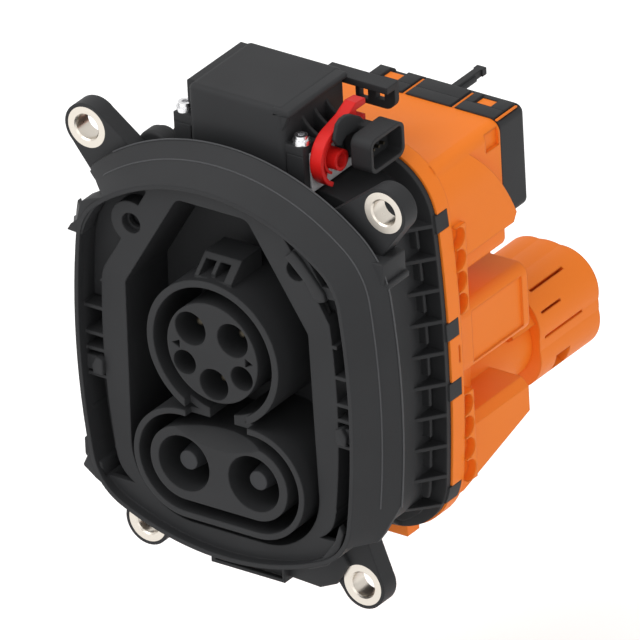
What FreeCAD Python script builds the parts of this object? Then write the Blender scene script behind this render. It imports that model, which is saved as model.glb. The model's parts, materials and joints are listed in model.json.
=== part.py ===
import FreeCAD, Part
import math
import os

# Charge port inlet in millimetres. +Z is up, the mating face looks along -Y at y = 0,
# and the origin is where the axis of the round AC socket meets that face.

# Fits
fit_gap = 0.1
running_gap = 0.05
moving_gap = 0.4

# Rim of the front frame: four large arcs with rounded corners
rim_half_width = 52.6
rim_side_radius = 285.0
rim_side_z = -8.0
rim_top_z = 56.8
rim_top_radius = 68.0
rim_bottom_z = -73.2
rim_bottom_radius = 88.0
rim_corner_radius = 20.0
rim_wall = 1.5
rim_depth = 18.0
lip_wall = 1.8
crease_reach = 5.2
crease_y = 8.0
lip_reach = 9.8
lip_y = 13.0
lip_end_right_z = -56.0
lip_end_left_z = 24.0
lip_notch = ((-52.2, 48.0), (-52.2, 44.5), (-40.0, 44.5), (-40.0, 34.2), (-56.5, 34.0), (-57.2, 28.5),
             (-62.3, 24.6), (-80.0, 24.6), (-80.0, 48.0))
lobe_x = -52.6
lobe_z = -51.0
lobe_size = 3.6
lobe_front_y = 6.5
lobe_back_y = 14.5

# Face plate and the pocket behind it
plate_y = 3.4
plate_wall = 2.2
slot_top_z = 24.0
slot_bottom_z = -57.0
slot_width = 6.6
slot_rib_heights = (12.5, 2.0, -7.5, -13.0, -22.0, -34.0, -46.0)
slot_rib_wall = 1.2
snap_block_z = -18.0
snap_block_height = 5.0
pocket_top_z = 49.0
pocket_top_half = 13.3
pocket_shoulder_z = 14.5
pocket_shoulder_half = 34.7
pocket_depth_y = 26.0
pocket_wall = 1.8
pocket_margin = 3.35
pocket_corner_radius = 4.0
boss_x = 31.2
boss_z = 35.9
boss_radius = 8.0
boss_hole_radius = 3.5
boss_depth_y = 12.0

# Ears and their metal bushings
ear_top_x = 56.2
ear_top_z = 56.8
ear_bottom_x = 41.0
ear_bottom_z = -78.5
ear_y = 16.5
ear_thickness = 6.7
ear_radius = 8.15
ear_root_width = 25.0
ear_root_share = 0.62
bushing_radius = 7.0
bushing_bore_radius = 4.2
bushing_chamfer = 0.5

# Drain spout under the rim
spout_half_width = 14.0
spout_y = 12.5
spout_depth = 9.0
spout_bottom_z = -83.4
spout_wall = 1.6

# Socket walls
ring_radius = 24.9
ring_inner_radius = 22.5
dc_pitch = 26.5
dc_z = -42.5
dc_outer_radius = 19.1
dc_inner_radius = 17.1
waist_half_width = 11.7
waist_web_y = 3.3
waist_gap_half = 4.6
floor_wall = 2.4

# Latch catch on top of the ring
catch_half_width = 7.0
catch_top_z = 30.4
catch_front_y = 3.7
catch_bar_y = 8.6
catch_back_y = 19.0
catch_wall = 1.5

# Contact carriers
core_radius = 17.1
dc_core_radius = 12.75
dc_hole_radius = 9.64
carrier_end_y = 31.0
carrier_flange = 3.0
scoop_radius = 34.0
scoop_back_radius = 29.75
scoop_depth = 6.2
power_x = 8.0
power_z = 6.6
power_hole_radius = 5.8
signal_x = 10.8
signal_z = -5.95
signal_hole_radius = 4.2
ground_z = -11.0
ground_hole_radius = 5.4
key_x = 13.9
key_size = 3.0
key_depth = 3.0

# Contacts
power_pin_radius = 1.8
ground_pin_radius = 1.5
signal_pin_radius = 1.15
ac_pin_front_y = 5.0
ac_pin_back_y = 44.0
pin_collar_extra = 1.4
pin_collar_length = 2.0
dc_pin_radius = 4.0
dc_tip_face_radius = 3.25
dc_tip_front_y = 2.5
dc_tip_taper = 5.0
dc_tip_length = 9.0
dc_tip_stud_radius = 2.0
dc_tip_stud_length = 5.0
dc_shank_radius = 6.0
dc_barrel_radius = 8.0
dc_barrel_bore_radius = 5.8
dc_barrel_y = 48.0
dc_barrel_length = 32.0
retainer_wall = 3.0
retainer_margin = 2.0
board_y = 39.0
board_wall = 1.6
board_half_width = 18.0
board_top_z = 20.0
board_bottom_z = -20.0
board_post_x = 11.5
board_post_z = 12.5
board_post_radius = 2.0

# Ribbed body behind the frame and its flange
body_half_width = 54.0
body_side_radius = 530.0
body_side_z = -12.0
body_top_z = 60.5
body_top_radius = 190.0
body_bottom_z = -76.3
body_bottom_radius = 300.0
body_corner_radius = 22.0
body_left_corner_radius = 36.0
core_inset = 6.5
core_wall = 2.0
roof_z = 52.0
flange_y = 50.0
flange_wall = 2.1
gusset_depth = 8.5
gusset_wall = 1.3
gusset_pitch = 11.0
gusset_first_z = -62.6
gusset_count = 10
mid_rib_height = 7.0
mid_rib_reach = 3.0
seal_outset = 3.0
seal_width = 2.0
seal_height = 1.1
seal_squeeze = 0.3
breather_x = -35.8
breather_z = 50.9
breather_radius = 6.6
breather_boss_wall = 4.5
breather_length = 5.0
lug_heights = (36.3, -1.3, -22.3, -59.3)
lug_half_height = 3.0
lug_length = 5.4
lug_wall = 2.0

# Lock actuator
lock_half_width = 18.0
lock_front_y = 18.5
lock_back_y = 52.0
lock_top_z = 81.5
lock_wall = 1.5
lock_fillet = 2.0
lock_pad_front_y = 21.6
lock_pad_reach = 2.2
lock_pad_drop = 0.3
lock_pad_fillet = 0.8
lock_floor = 1.4
wing_half_width = 24.5
wing_front_y = 19.5
post_depth = 7.7
post_top_z = 66.3
lug_top_z = 69.5
left_wing_depth = 14.5
right_wing_depth = 30.5
screw_x = 22.0
screw_y = 22.4
screw_head_radius = 2.7
screw_head_height = 3.0
screw_radius = 1.5
screw_length = 12.0
screw_drive_radius = 1.2
screw_drive_depth = 1.6
rib_count = 3
rib_pitch = 6.5
rib_first_y = 28.5
rib_wall = 1.2
rib_top_z = 80.0

# Gear train of the lock: rack and sector on one shaft, driven by the motor pinion
gear_module = 1.0
rack_gear_teeth = 12
sector_teeth = 22
pinion_teeth = 10
tooth_backlash = 0.32
tooth_head = 0.85
tooth_foot = 1.15
pressure_angle = 20.0
shaft_y = 30.5
shaft_z = 62.2
shaft_radius = 2.2
gear_width = 7.0
sector_width = 4.0
sector_x = 6.5
lever_travel = 66.0
motor_direction = 34.5
motor_radius = 6.0
motor_length = 20.0
motor_end_gap = 2.0
motor_shaft_radius = 1.0
bearing_wall = 2.0
bearing_left_x = -7.6

# Lock bolt
bolt_half_width = 4.0
bolt_gap = 0.3
bolt_nose_back_y = 25.7
bolt_nose_z = 49.6
bolt_nose_top_z = 55.4
bolt_top_z = 75.0
rack_bottom_z = 56.6
bolt_seal_wall = 3.0

# Release lever
lever_x = 25.7
lever_width = 4.3
lever_web = 1.4
lever_hub_radius = 3.5
lever_hub_end_x = 31.2
lever_tool_radius = 2.3
lever_tool_depth = 3.0
lever_ring_radius = 9.8
lever_ring_wall = 1.5
lever_ring_dy = 0.4
lever_ring_dz = 1.0
lever_inner_ring_radius = 6.2
lever_inner_ring_wall = 0.9
hook_slot = 3.4
hook_slot_depth = 5.0
plate_thickness = 0.6

# Signal connector on the side of the actuator
plug_y = 40.0
plug_z = 65.0
plug_width = 18.0
plug_height = 12.0
plug_x = 34.4
plug_mouth_x = 42.0
plug_wall = 1.3
plug_back_wall = 1.8
plug_corner = 3.0
neck_y = 41.0
neck_depth = 6.5
neck_z = 57.5
neck_height = 10.5
keeper_outline = ((-3.6, 8.6), (-2.9, 10.5), (-1.8, 13.2), (0.5, 14.3), (3.2, 14.3), (5.9, 13.4), (9.9, 10.9),
                  (12.3, 8.2), (12.9, 5.6), (7.6, 6.6), (4.5, 7.3), (2.3, 7.6), (0.5, 6.6), (-0.6, 5.5), (-2.5, 6.4))
keeper_wall = 1.3
keeper_link = (8.5, 12.3, 6.3, 8.6)
plug_pin_half = 0.4
plug_pin_pitch = 2.6
plug_pin_columns = 4
plug_pin_rows = 2
plug_pin_reach = 3.4

# Guide for the release cable
guide_x = 19.0
guide_width = 15.0
guide_y = 56.0
guide_wall = 2.2
guide_z = 68.2
guide_top_z = 78.0
guide_corner = 4.0
guide_window_width = 3.2
guide_window_height = 4.6
guide_window_step = 6.3
guide_window_rise = 1.2

# Orange rear housing
rear_wall = 2.2
band_depth = 6.4
band_reach = 0.6
scallop_depth = 5.0
scallop_radius = 3.6
scallop_pitch = 7.7
scallop_count = 4
scallop_floor = 3.2
scallop_reach = 0.4
upper_scallop_z = 16.8
lower_scallop_z = -42.0
dome_y = 84.0
dome_inset = 3.5
dome_back_inset = 16.0
upper_box_left = -36.0
upper_box_right = 48.0
upper_box_top_z = 52.5
upper_box_bottom_z = 8.0
upper_box_y = 91.0
upper_box_corner = 4.0
fender_bottom_z = 19.5
fender_tip_y = 90.6
fender_tip_z = 22.2
fender_middle_y = 82.6
fender_middle_z = 38.0
fender_top_y = 70.0
middle_box_left = 4.0
middle_box_right = 50.0
middle_box_top_z = -1.0
middle_box_bottom_z = -24.6
middle_box_y = 99.0
middle_panel_inset = 3.0
middle_panel_depth = 0.8
lower_box_half = 50.0
lower_box_top_z = -40.7
lower_box_rear_z = -52.0
lower_box_bottom_z = -63.0
lower_box_y = 97.0
lower_box_slope_y = 60.0
lower_box_chamfer = 2.8
band_gap_x = 38.0
band_gap_width = 2.6
band_tab_left = 24.5
band_tab_right = 34.5
band_tab_z = -79.2
outlet_x = 20.5
outlet_z = -43.5
outlet_radius = 15.0
outlet_y = 120.0
outlet_spigot_radius = 12.1
outlet_spigot_wall = 1.8
outlet_spigot_length = 13.0
clip_slot_z = -11.0
clip_slot_height = 6.0
clip_slot_width = 0.9
clip_slot_depth = 1.2

# Black rear cap on the upper box
cap_left = -7.0
cap_bottom_z = 17.0
cap_y = 91.2
cap_end_y = 104.7
cap_wall = 1.6
cap_corner = 3.0
cap_spigot_length = 9.0
cap_window_x = (2.4, 37.6)
cap_window_width = 6.0
cap_window_y = 99.5
cap_window_depth = 4.0
cap_edge_radius = 1.8
cap_seam_x = 11.2
cap_seam_size = 0.8
cap_slot_x = 45.6
cap_slot_width = 1.3
rod_x = 20.0
rod_width = 2.4
rod_height = 2.4
rod_drop = 2.2
rod_length = 17.0
rod_head_width = 3.4
rod_head_length = 2.2

# Cable caps
cable_cap_length = 32.5
lobe_radius = 12.7
lobe_dx = 5.45
lobe_dz = 4.85
cable_cap_wall = 4.5
cable_hole_radius = 9.4
cable_seal_length = 9.6
cable_clamp_length = 4.4
cap_body_radius = 17.9
cap_arm_angle = 32.0
cap_arm_width = 4.6
cap_arm_length = 12.0
cap_window_angle = -32.0
cap_window_cut = 7.0
cap_window_length = 7.5
cap_window_front = 8.5
slit_depth = 1.8
slit_marks = ((53.8, 4.6, 18.0, 1.0), (6.3, 3.1, 20.4, 1.0), (31.5, 3.0, 10.5, 0.8))


def box(x0, x1, y0, y1, z0, z1):
    """Box between two corners."""
    return Part.makeBox(x1 - x0, y1 - y0, z1 - z0, FreeCAD.Vector(x0, y0, z0))


def rod_along_x(y, z, radius, x0, x1):
    """Round bar along X."""
    return Part.makeCylinder(radius, x1 - x0, FreeCAD.Vector(x0, y, z), FreeCAD.Vector(1, 0, 0))


def rod_along_y(x, z, radius, y0, y1):
    """Round bar along Y."""
    return Part.makeCylinder(radius, y1 - y0, FreeCAD.Vector(x, y0, z), FreeCAD.Vector(0, 1, 0))


def rod_along_z(x, y, radius, z0, z1):
    """Round bar along Z."""
    return Part.makeCylinder(radius, z1 - z0, FreeCAD.Vector(x, y, z0), FreeCAD.Vector(0, 0, 1))


def cone_along_y(x, z, radius0, radius1, y0, y1):
    """Cone along Y."""
    return Part.makeCone(radius0, radius1, y1 - y0, FreeCAD.Vector(x, y0, z), FreeCAD.Vector(0, 1, 0))


def racetrack(radius, y0, y1):
    """Flat-sided oval round both DC axes."""
    half = dc_pitch / 2
    left = rod_along_y(-half, dc_z, radius, y0, y1)
    right = rod_along_y(half, dc_z, radius, y0, y1)
    middle = box(-half, half, y0, y1, dc_z - radius, dc_z + radius)
    return left.fuse([right, middle]).removeSplitter()


def profile_along_y(points, y0, y1):
    """Straight-sided outline in X and Z, drawn out along Y."""
    corners = [FreeCAD.Vector(x, y0, z) for x, z in points]
    face = Part.Face(Part.makePolygon(corners + corners[:1]))
    return face.extrude(FreeCAD.Vector(0, y1 - y0, 0))


def profile_along_x(points, x0, x1):
    """Straight-sided outline in Y and Z, drawn out along X."""
    corners = [FreeCAD.Vector(x0, y, z) for y, z in points]
    face = Part.Face(Part.makePolygon(corners + corners[:1]))
    return face.extrude(FreeCAD.Vector(x1 - x0, 0, 0))


def edges_along(solid, axis):
    """Straight edges of a solid that run along one axis."""
    chosen = []
    for edge in solid.Edges:
        if len(edge.Vertexes) == 2:
            run = edge.Vertexes[1].Point - edge.Vertexes[0].Point
            if run.Length > 1e-6 and abs(run.normalize().dot(axis)) > 0.999:
                chosen.append(edge)
    return chosen


def rounded_box(x0, x1, y0, y1, z0, z1, radius, axis):
    """Box with the four edges along one axis rounded."""
    solid = box(x0, x1, y0, y1, z0, z1)
    return solid.makeFillet(radius, edges_along(solid, axis))


def circle_meeting(x1, z1, radius1, x2, z2, radius2):
    """Right-hand point where two circles meet."""
    gap = math.hypot(x2 - x1, z2 - z1)
    along = (radius1 ** 2 - radius2 ** 2 + gap ** 2) / (2 * gap)
    across = math.sqrt(radius1 ** 2 - along ** 2)
    ux = (x2 - x1) / gap
    uz = (z2 - z1) / gap
    first = (x1 + along * ux - across * uz, z1 + along * uz + across * ux)
    second = (x1 + along * ux + across * uz, z1 + along * uz - across * ux)
    return max(first, second)


def arc_edge(x, z, radius, angle0, angle1, y):
    """Arc about a centre in the plane at y."""
    spots = []
    for share in (0, 0.5, 1):
        angle = angle0 + (angle1 - angle0) * share
        spots.append(FreeCAD.Vector(x + radius * math.cos(angle), y, z + radius * math.sin(angle)))
    return Part.Arc(spots[0], spots[1], spots[2]).toShape()


def four_arc_wire(half, side_radius, side_z, top, top_radius, bottom, bottom_radius, corner, left_corner,
                  grow, y):
    """Closed outline of four large arcs and four tangent corner arcs, the top left one larger, grown outwards."""
    side_x = half - side_radius
    top_z = top - top_radius
    bottom_z = bottom + bottom_radius
    upper = circle_meeting(side_x, side_z, side_radius - corner, 0, top_z, top_radius - corner)
    lower = circle_meeting(side_x, side_z, side_radius - corner, 0, bottom_z, bottom_radius - corner)
    left = circle_meeting(side_x, side_z, side_radius - left_corner, 0, top_z, top_radius - left_corner)
    side_up = math.atan2(upper[1] - side_z, upper[0] - side_x)
    left_up = math.atan2(left[1] - side_z, left[0] - side_x)
    side_down = math.atan2(lower[1] - side_z, lower[0] - side_x)
    top_start = math.atan2(upper[1] - top_z, upper[0])
    left_start = math.atan2(left[1] - top_z, left[0])
    bottom_end = math.atan2(lower[1] - bottom_z, lower[0])
    turn = math.pi
    return Part.Wire([
        arc_edge(side_x, side_z, side_radius + grow, side_down, side_up, y),
        arc_edge(upper[0], upper[1], corner + grow, side_up, top_start, y),
        arc_edge(0, top_z, top_radius + grow, top_start, turn - left_start, y),
        arc_edge(-left[0], left[1], left_corner + grow, turn - left_start, turn - left_up, y),
        arc_edge(-side_x, side_z, side_radius + grow, turn - left_up, turn - side_down, y),
        arc_edge(-lower[0], lower[1], corner + grow, turn - side_down, turn - bottom_end, y),
        arc_edge(0, bottom_z, bottom_radius + grow, turn - bottom_end, 2 * turn + bottom_end, y),
        arc_edge(lower[0], lower[1], corner + grow, bottom_end, side_down, y)])


def rim_wire(grow, y):
    """Outline of the frame's rim."""
    return four_arc_wire(rim_half_width, rim_side_radius, rim_side_z, rim_top_z, rim_top_radius,
                         rim_bottom_z, rim_bottom_radius, rim_corner_radius, rim_corner_radius, grow, y)


def body_wire(grow, y):
    """Outline of the ribbed body's flange."""
    return four_arc_wire(body_half_width, body_side_radius, body_side_z, body_top_z, body_top_radius,
                         body_bottom_z, body_bottom_radius, body_corner_radius, body_left_corner_radius, grow, y)


def rim_prism(grow, y0, y1):
    """Rim outline drawn along Y."""
    return Part.Face(rim_wire(grow, y0)).extrude(FreeCAD.Vector(0, y1 - y0, 0))


def body_prism(grow, y0, y1):
    """Flange outline drawn along Y."""
    return Part.Face(body_wire(grow, y0)).extrude(FreeCAD.Vector(0, y1 - y0, 0))


def front_wire(solid):
    """Outer wire of the face with the lowest Y."""
    face = min(solid.Faces, key=lambda item: item.CenterOfMass.y)
    return face.OuterWire


def pocket_prism(grow, y0, y1):
    """Outline of the socket pocket: sloping shoulders above, racetrack below."""
    radius = dc_outer_radius + pocket_margin
    side = dc_pitch / 2 + radius
    points = [(-pocket_top_half, pocket_top_z), (pocket_top_half, pocket_top_z),
              (pocket_shoulder_half, pocket_shoulder_z), (side, dc_z),
              (-side, dc_z), (-pocket_shoulder_half, pocket_shoulder_z)]
    upper = profile_along_y(points, y0, y0 + 1)
    upper_edges = [edge for edge in edges_along(upper, FreeCAD.Vector(0, 1, 0)) if edge.CenterOfMass.z > dc_z + 1]
    upper = upper.makeFillet(pocket_corner_radius, upper_edges)
    whole = upper.fuse(racetrack(radius, y0, y0 + 1)).removeSplitter()
    face = Part.Face(front_wire(whole))
    if grow:
        face = face.makeOffset2D(grow)
    return face.extrude(FreeCAD.Vector(0, y1 - y0, 0))


def mirrored(solid):
    """Copy on the other side of the middle plane."""
    return solid.mirror(FreeCAD.Vector(0, 0, 0), FreeCAD.Vector(1, 0, 0))


def mount_places():
    """Centres of the four ears."""
    return [(-ear_top_x, ear_top_z), (ear_top_x, ear_top_z),
            (-ear_bottom_x, ear_bottom_z), (ear_bottom_x, ear_bottom_z)]


def collar():
    """Flared lip round the rim, open at the bottom."""
    steps = [(0.0, 0.0), (crease_reach, crease_y), (lip_reach, lip_y)]
    wires = [rim_wire(grow, y) for grow, y in steps]
    outer = Part.makeLoft(wires, True, True)
    inner = outer.copy()
    inner.translate(FreeCAD.Vector(0, lip_wall, 0))
    lip = outer.cut(inner).cut(rim_prism(-rim_wall, -1, lip_y + 1))
    width = rim_half_width + 2 * lip_reach
    below = box(0, width, -1, lip_y + 1, -2 * width, lip_end_right_z)
    beside = box(-width, 0, -1, lip_y + 1, -2 * width, lip_end_left_z)
    notch = profile_along_y(lip_notch, -1, lip_y + 2 * lip_wall)
    return lip.cut(below.fuse([beside, notch]).cut(rim_prism(0, -2, lip_y + 2 * lip_wall)))


def slot_band(y0, y1):
    """Space of the long slots between face plate and rim."""
    outer = rim_prism(-rim_wall, y0, y1)
    inner = rim_prism(-rim_wall - slot_width, y0 - 1, y1 + 1)
    reach = box(-rim_half_width, rim_half_width, y0, y1, slot_bottom_z, slot_top_z)
    return outer.cut(inner).common(reach)


def slot_ribs(y0, y1):
    """Ribs and snap blocks that bridge the long slots."""
    bars = []
    for z in slot_rib_heights:
        bars.append(box(-rim_half_width, rim_half_width, y0, y1, z - slot_rib_wall / 2, z + slot_rib_wall / 2))
    bars.append(box(-rim_half_width, rim_half_width, y0, y1, snap_block_z - snap_block_height / 2,
                    snap_block_z + snap_block_height / 2))
    return slot_band(y0, y1).common(bars[0].fuse(bars[1:]))


def face_plate():
    """Front plate with its pocket wall, long slots and two bosses."""
    plate_back = plate_y + plate_wall
    plate = rim_prism(-rim_wall / 2, plate_y, plate_back)
    plate = plate.cut(slot_band(plate_y - 1, plate_back + 1))
    back_wall = rim_prism(-rim_wall - slot_width, plate_back, spout_y)
    back_wall = back_wall.cut(rim_prism(-rim_wall - slot_width - slot_rib_wall, plate_back - 1, spout_y + 1))
    wall = pocket_prism(pocket_wall, plate_y, pocket_depth_y)
    boss = rod_along_y(-boss_x, boss_z, boss_radius, plate_y, boss_depth_y)
    plate = plate.fuse([back_wall, wall, boss, mirrored(boss), slot_ribs(plate_y, spout_y)])
    plate = plate.cut(pocket_prism(0, plate_y - 1, pocket_depth_y + 1))
    hole = rod_along_y(-boss_x, boss_z, boss_hole_radius, plate_y - 1, boss_depth_y - plate_wall)
    return plate.cut(hole.fuse(mirrored(hole)))


def ear(x, z):
    """Ear with an arm that widens towards the rim."""
    length = math.hypot(x, z)
    across = (-z / length, x / length)
    root = (x * ear_root_share, z * ear_root_share)
    points = [(x + across[0] * ear_radius, z + across[1] * ear_radius),
              (root[0] + across[0] * ear_root_width / 2, root[1] + across[1] * ear_root_width / 2),
              (root[0] - across[0] * ear_root_width / 2, root[1] - across[1] * ear_root_width / 2),
              (x - across[0] * ear_radius, z - across[1] * ear_radius)]
    arm = profile_along_y(points, ear_y, ear_y + ear_thickness)
    return arm.fuse(rod_along_y(x, z, ear_radius, ear_y, ear_y + ear_thickness))


def drain_spout():
    """Thin-walled spout below the rim, open downwards."""
    top = rim_bottom_z + rim_wall
    shell = box(-spout_half_width, spout_half_width, spout_y, spout_y + spout_depth, spout_bottom_z, top)
    return shell


def drain_way():
    """Way for water through the rim and down the spout."""
    return box(-spout_half_width + spout_wall, spout_half_width - spout_wall, spout_y + spout_wall,
               spout_y + spout_depth - spout_wall, spout_bottom_z - 1, rim_bottom_z + 2 * rim_wall)


def bolt_way(clearance, z0, z1):
    """Rectangular way for the lock bolt."""
    return box(-bolt_half_width - clearance, bolt_half_width + clearance, bolt_front_y() - clearance,
               bolt_nose_back_y + clearance, z0, z1)


def front_frame():
    """Front frame: rim, collar, face plate, ears and drain spout."""
    rim = rim_prism(0, 0, rim_depth).cut(rim_prism(-rim_wall, -1, rim_depth + 1))
    lobe = rounded_box(lobe_x - lobe_size, lobe_x + lobe_size / 2, lobe_front_y, lobe_back_y, lobe_z - lobe_size,
                       lobe_z + lobe_size, lobe_size / 3, FreeCAD.Vector(0, 1, 0))
    lobe = lobe.cut(rim_prism(-rim_wall / 2, 0, rim_depth))
    frame = rim.fuse([collar(), face_plate(), drain_spout(), lobe] + [ear(x, z) for x, z in mount_places()])
    frame = frame.cut(drain_way())
    frame = frame.cut(pocket_prism(0, ear_y - 1, pocket_depth_y + 1))
    frame = frame.cut(bolt_way(bolt_gap, pocket_top_z - 1, pocket_top_z + pocket_wall + 1))
    for x, z in mount_places():
        frame = frame.cut(rod_along_y(x, z, bushing_radius, ear_y - 1, ear_y + ear_thickness + 1))
    return frame.removeSplitter()


def mounting_bushings():
    """Metal bushings pressed into the ears."""
    bushings = []
    for x, z in mount_places():
        tube = rod_along_y(x, z, bushing_radius, ear_y, ear_y + ear_thickness)
        tube = tube.cut(rod_along_y(x, z, bushing_bore_radius, ear_y - 1, ear_y + ear_thickness + 1))
        mouth = cone_along_y(x, z, bushing_bore_radius + bushing_chamfer, bushing_bore_radius,
                             ear_y, ear_y + bushing_chamfer)
        bushings.append(tube.cut(mouth))
    return Part.makeCompound(bushings)


def core_prism(grow, top, y0, y1):
    """Outline of the ribbed body's core under its flat roof."""
    width = 2 * body_half_width
    below = box(-width, width, y0, y1, -width, top)
    return body_prism(grow, y0, y1).common(below)


def gussets():
    """Sloping ribs between core and flange, with short ribs between them."""
    flange_front = flange_y - flange_wall
    slope = Part.makeLoft([body_wire(-core_inset, flange_front - gusset_depth),
                           body_wire(0, flange_front)], True, True)
    width = body_half_width + core_inset
    cutters = []
    short = []
    for index in range(gusset_count):
        z = gusset_first_z + index * gusset_pitch
        cutters.append(box(-width, width, flange_front - gusset_depth, flange_front,
                           z - gusset_wall / 2, z + gusset_wall / 2))
        short.append(box(-width, width, flange_front - gusset_depth / 2, flange_front - gusset_depth / 2
                         + gusset_wall, z - mid_rib_height, z))
    for index in range(-3, 4):
        x = index * gusset_pitch
        cutters.append(box(x - gusset_wall / 2, x + gusset_wall / 2, flange_front - gusset_depth, flange_front,
                           -2 * width, dc_z - dc_outer_radius))
    long_ribs = slope.common(cutters[0].fuse(cutters[1:]))
    reach = body_prism(-core_inset + mid_rib_reach, flange_front - gusset_depth, flange_front)
    short_ribs = slope.common(short[0].fuse(short[1:])).common(reach)
    hollow = body_prism(-core_inset - core_wall / 2, flange_front - gusset_depth - 1, flange_y)
    return long_ribs.fuse(short_ribs).cut(hollow)


def socket_walls():
    """Round AC wall and racetrack DC wall, open to each other at the waist."""
    outer = rod_along_y(0, 0, ring_radius, 0, pocket_depth_y).fuse(racetrack(dc_outer_radius, 0, pocket_depth_y))
    outer = outer.removeSplitter()
    outer = outer.cut(rod_along_y(0, 0, ring_inner_radius, -1, pocket_depth_y + 1))
    outer = outer.cut(racetrack(dc_inner_radius, -1, pocket_depth_y + 1))
    waist_top = -math.sqrt(ring_inner_radius ** 2 - waist_half_width ** 2)
    waist_bottom = dc_z + dc_inner_radius - 1
    outer = outer.cut(box(-waist_half_width, waist_half_width, -1, waist_web_y, waist_bottom, waist_top))
    return outer.cut(box(-waist_gap_half, waist_gap_half, -1, pocket_depth_y + 1, waist_bottom, waist_top))


def latch_catch():
    """Ramped catch on the ring for the plug's latch, hollow from the front."""
    ramp_y = waist_web_y - 1
    root_z = ring_radius - catch_wall
    points = [(ramp_y, root_z), (ramp_y, ring_radius), (catch_bar_y, catch_top_z),
              (catch_back_y, catch_top_z), (catch_back_y, root_z)]
    ramp = profile_along_x(points, -catch_half_width, catch_half_width)
    hollow = box(-catch_half_width + catch_wall, catch_half_width - 2 * catch_wall, -1, catch_back_y - catch_wall,
                 ring_radius, catch_top_z - catch_wall)
    stem = ramp.common(box(-catch_wall, 0, catch_front_y, catch_back_y, ring_radius, catch_top_z))
    catch = ramp.cut(hollow).fuse(stem)
    return catch.cut(rod_along_y(0, 0, ring_inner_radius + fit_gap, -1, catch_back_y + 1))


def seal_ring(y0, y1, spare):
    """Closed ring of the perimeter seal."""
    outer = core_prism(-seal_outset + spare, roof_z - 1 + spare, y0, y1)
    return outer.cut(core_prism(-seal_outset - seal_width - spare, roof_z - 1 - seal_width - spare, y0 - 1, y1 + 1))


def cavity_top_z():
    """Top of the hollow under the roof, below the seal's groove."""
    return roof_z - 2 - seal_width


def snap_lugs(clearance):
    """Lugs behind the flange that hold the rear housing's band, or their notches with clearance."""
    width = body_half_width + body_corner_radius
    back = flange_y + lug_length + clearance
    ring = body_prism(band_reach + clearance, flange_y - flange_wall / 2, back)
    ring = ring.cut(body_prism(-lug_wall - clearance, flange_y - flange_wall, back + 1))
    lugs = []
    for z in lug_heights:
        lugs.append(ring.common(box(-width, width, flange_y - flange_wall, back, z - lug_half_height - clearance,
                                    z + lug_half_height + clearance)))
    return lugs


def socket_housing():
    """Socket walls on a floor, with the core, ribbed flange, breather boss, snap lugs and latch catch."""
    floor_back = pocket_depth_y + floor_wall
    core = core_prism(-core_inset, roof_z, pocket_depth_y, flange_y)
    flange = body_prism(0, flange_y - flange_wall, flange_y)
    solid = core.fuse([flange, gussets(), socket_walls(), latch_catch()])
    solid = solid.cut(core_prism(-core_inset - core_wall, cavity_top_z(), floor_back, flange_y + 1))
    boss_back_y = pocket_depth_y + breather_boss_wall
    boss = rod_along_y(breather_x, breather_z, breather_radius - core_wall / 2, pocket_depth_y, boss_back_y)
    boss = boss.fuse(box(breather_x - breather_boss_wall, breather_x + breather_boss_wall, pocket_depth_y,
                         boss_back_y, cavity_top_z() - breather_boss_wall, breather_z))
    solid = solid.fuse([boss] + snap_lugs(0))
    solid = solid.cut(rod_along_y(0, 0, core_radius + fit_gap, pocket_depth_y - 1, floor_back + 1))
    solid = solid.cut(racetrack(dc_core_radius + fit_gap, pocket_depth_y - 1, floor_back + 1))
    solid = solid.cut(rod_along_y(breather_x, breather_z, breather_radius + fit_gap, pocket_depth_y - 1, floor_back))
    groove = seal_ring(flange_y - seal_height + seal_squeeze, flange_y + 1, fit_gap)
    lock_space = box(-wing_half_width - moving_gap, wing_half_width + moving_gap, lock_front_y,
                     flange_y + 1, roof_z, lock_top_z)
    return solid.cut(groove).cut(lock_space).removeSplitter()


def perimeter_seal():
    """Seal between flange and rear housing."""
    return seal_ring(flange_y - seal_height + seal_squeeze, flange_y + seal_squeeze, 0)


def ac_holes():
    """Places and sizes of the five AC contact holes: x, z, hole radius, pin radius."""
    return [(-power_x, power_z, power_hole_radius, power_pin_radius),
            (power_x, power_z, power_hole_radius, power_pin_radius),
            (0, ground_z, ground_hole_radius, ground_pin_radius),
            (-signal_x, signal_z, signal_hole_radius, signal_pin_radius),
            (signal_x, signal_z, signal_hole_radius, signal_pin_radius)]


def ac_contact_carrier():
    """Round insulator with five blind holes and two small key pockets."""
    floor_back = pocket_depth_y + floor_wall
    core = rod_along_y(0, 0, core_radius, 0, floor_back)
    core = core.fuse(rod_along_y(0, 0, core_radius + carrier_flange, floor_back, carrier_end_y)).removeSplitter()
    for x, z, hole, pin in ac_holes():
        core = core.cut(rod_along_y(x, z, hole, -1, pocket_depth_y))
        core = core.cut(rod_along_y(x, z, pin, pocket_depth_y - 1, carrier_end_y + 1))
    key = profile_along_y([(key_x - key_size / 2, -key_size / 2), (key_x + key_size / 2, 0),
                           (key_x - key_size / 2, key_size / 2)], -1, key_depth)
    return core.cut(key).cut(mirrored(key))


def dc_contact_carrier():
    """Racetrack insulator with two blind holes and a conical scoop under the ring."""
    floor_back = pocket_depth_y + floor_wall
    core = racetrack(dc_core_radius, 0, floor_back)
    core = core.fuse(racetrack(dc_core_radius + carrier_flange, floor_back, carrier_end_y)).removeSplitter()
    for side in (-1, 1):
        core = core.cut(rod_along_y(side * dc_pitch / 2, dc_z, dc_hole_radius, -1, pocket_depth_y))
        core = core.cut(rod_along_y(side * dc_pitch / 2, dc_z, dc_pin_radius, pocket_depth_y - 1, carrier_end_y + 1))
    return core.cut(cone_along_y(0, 0, scoop_radius, scoop_back_radius, 0, scoop_depth))


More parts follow.
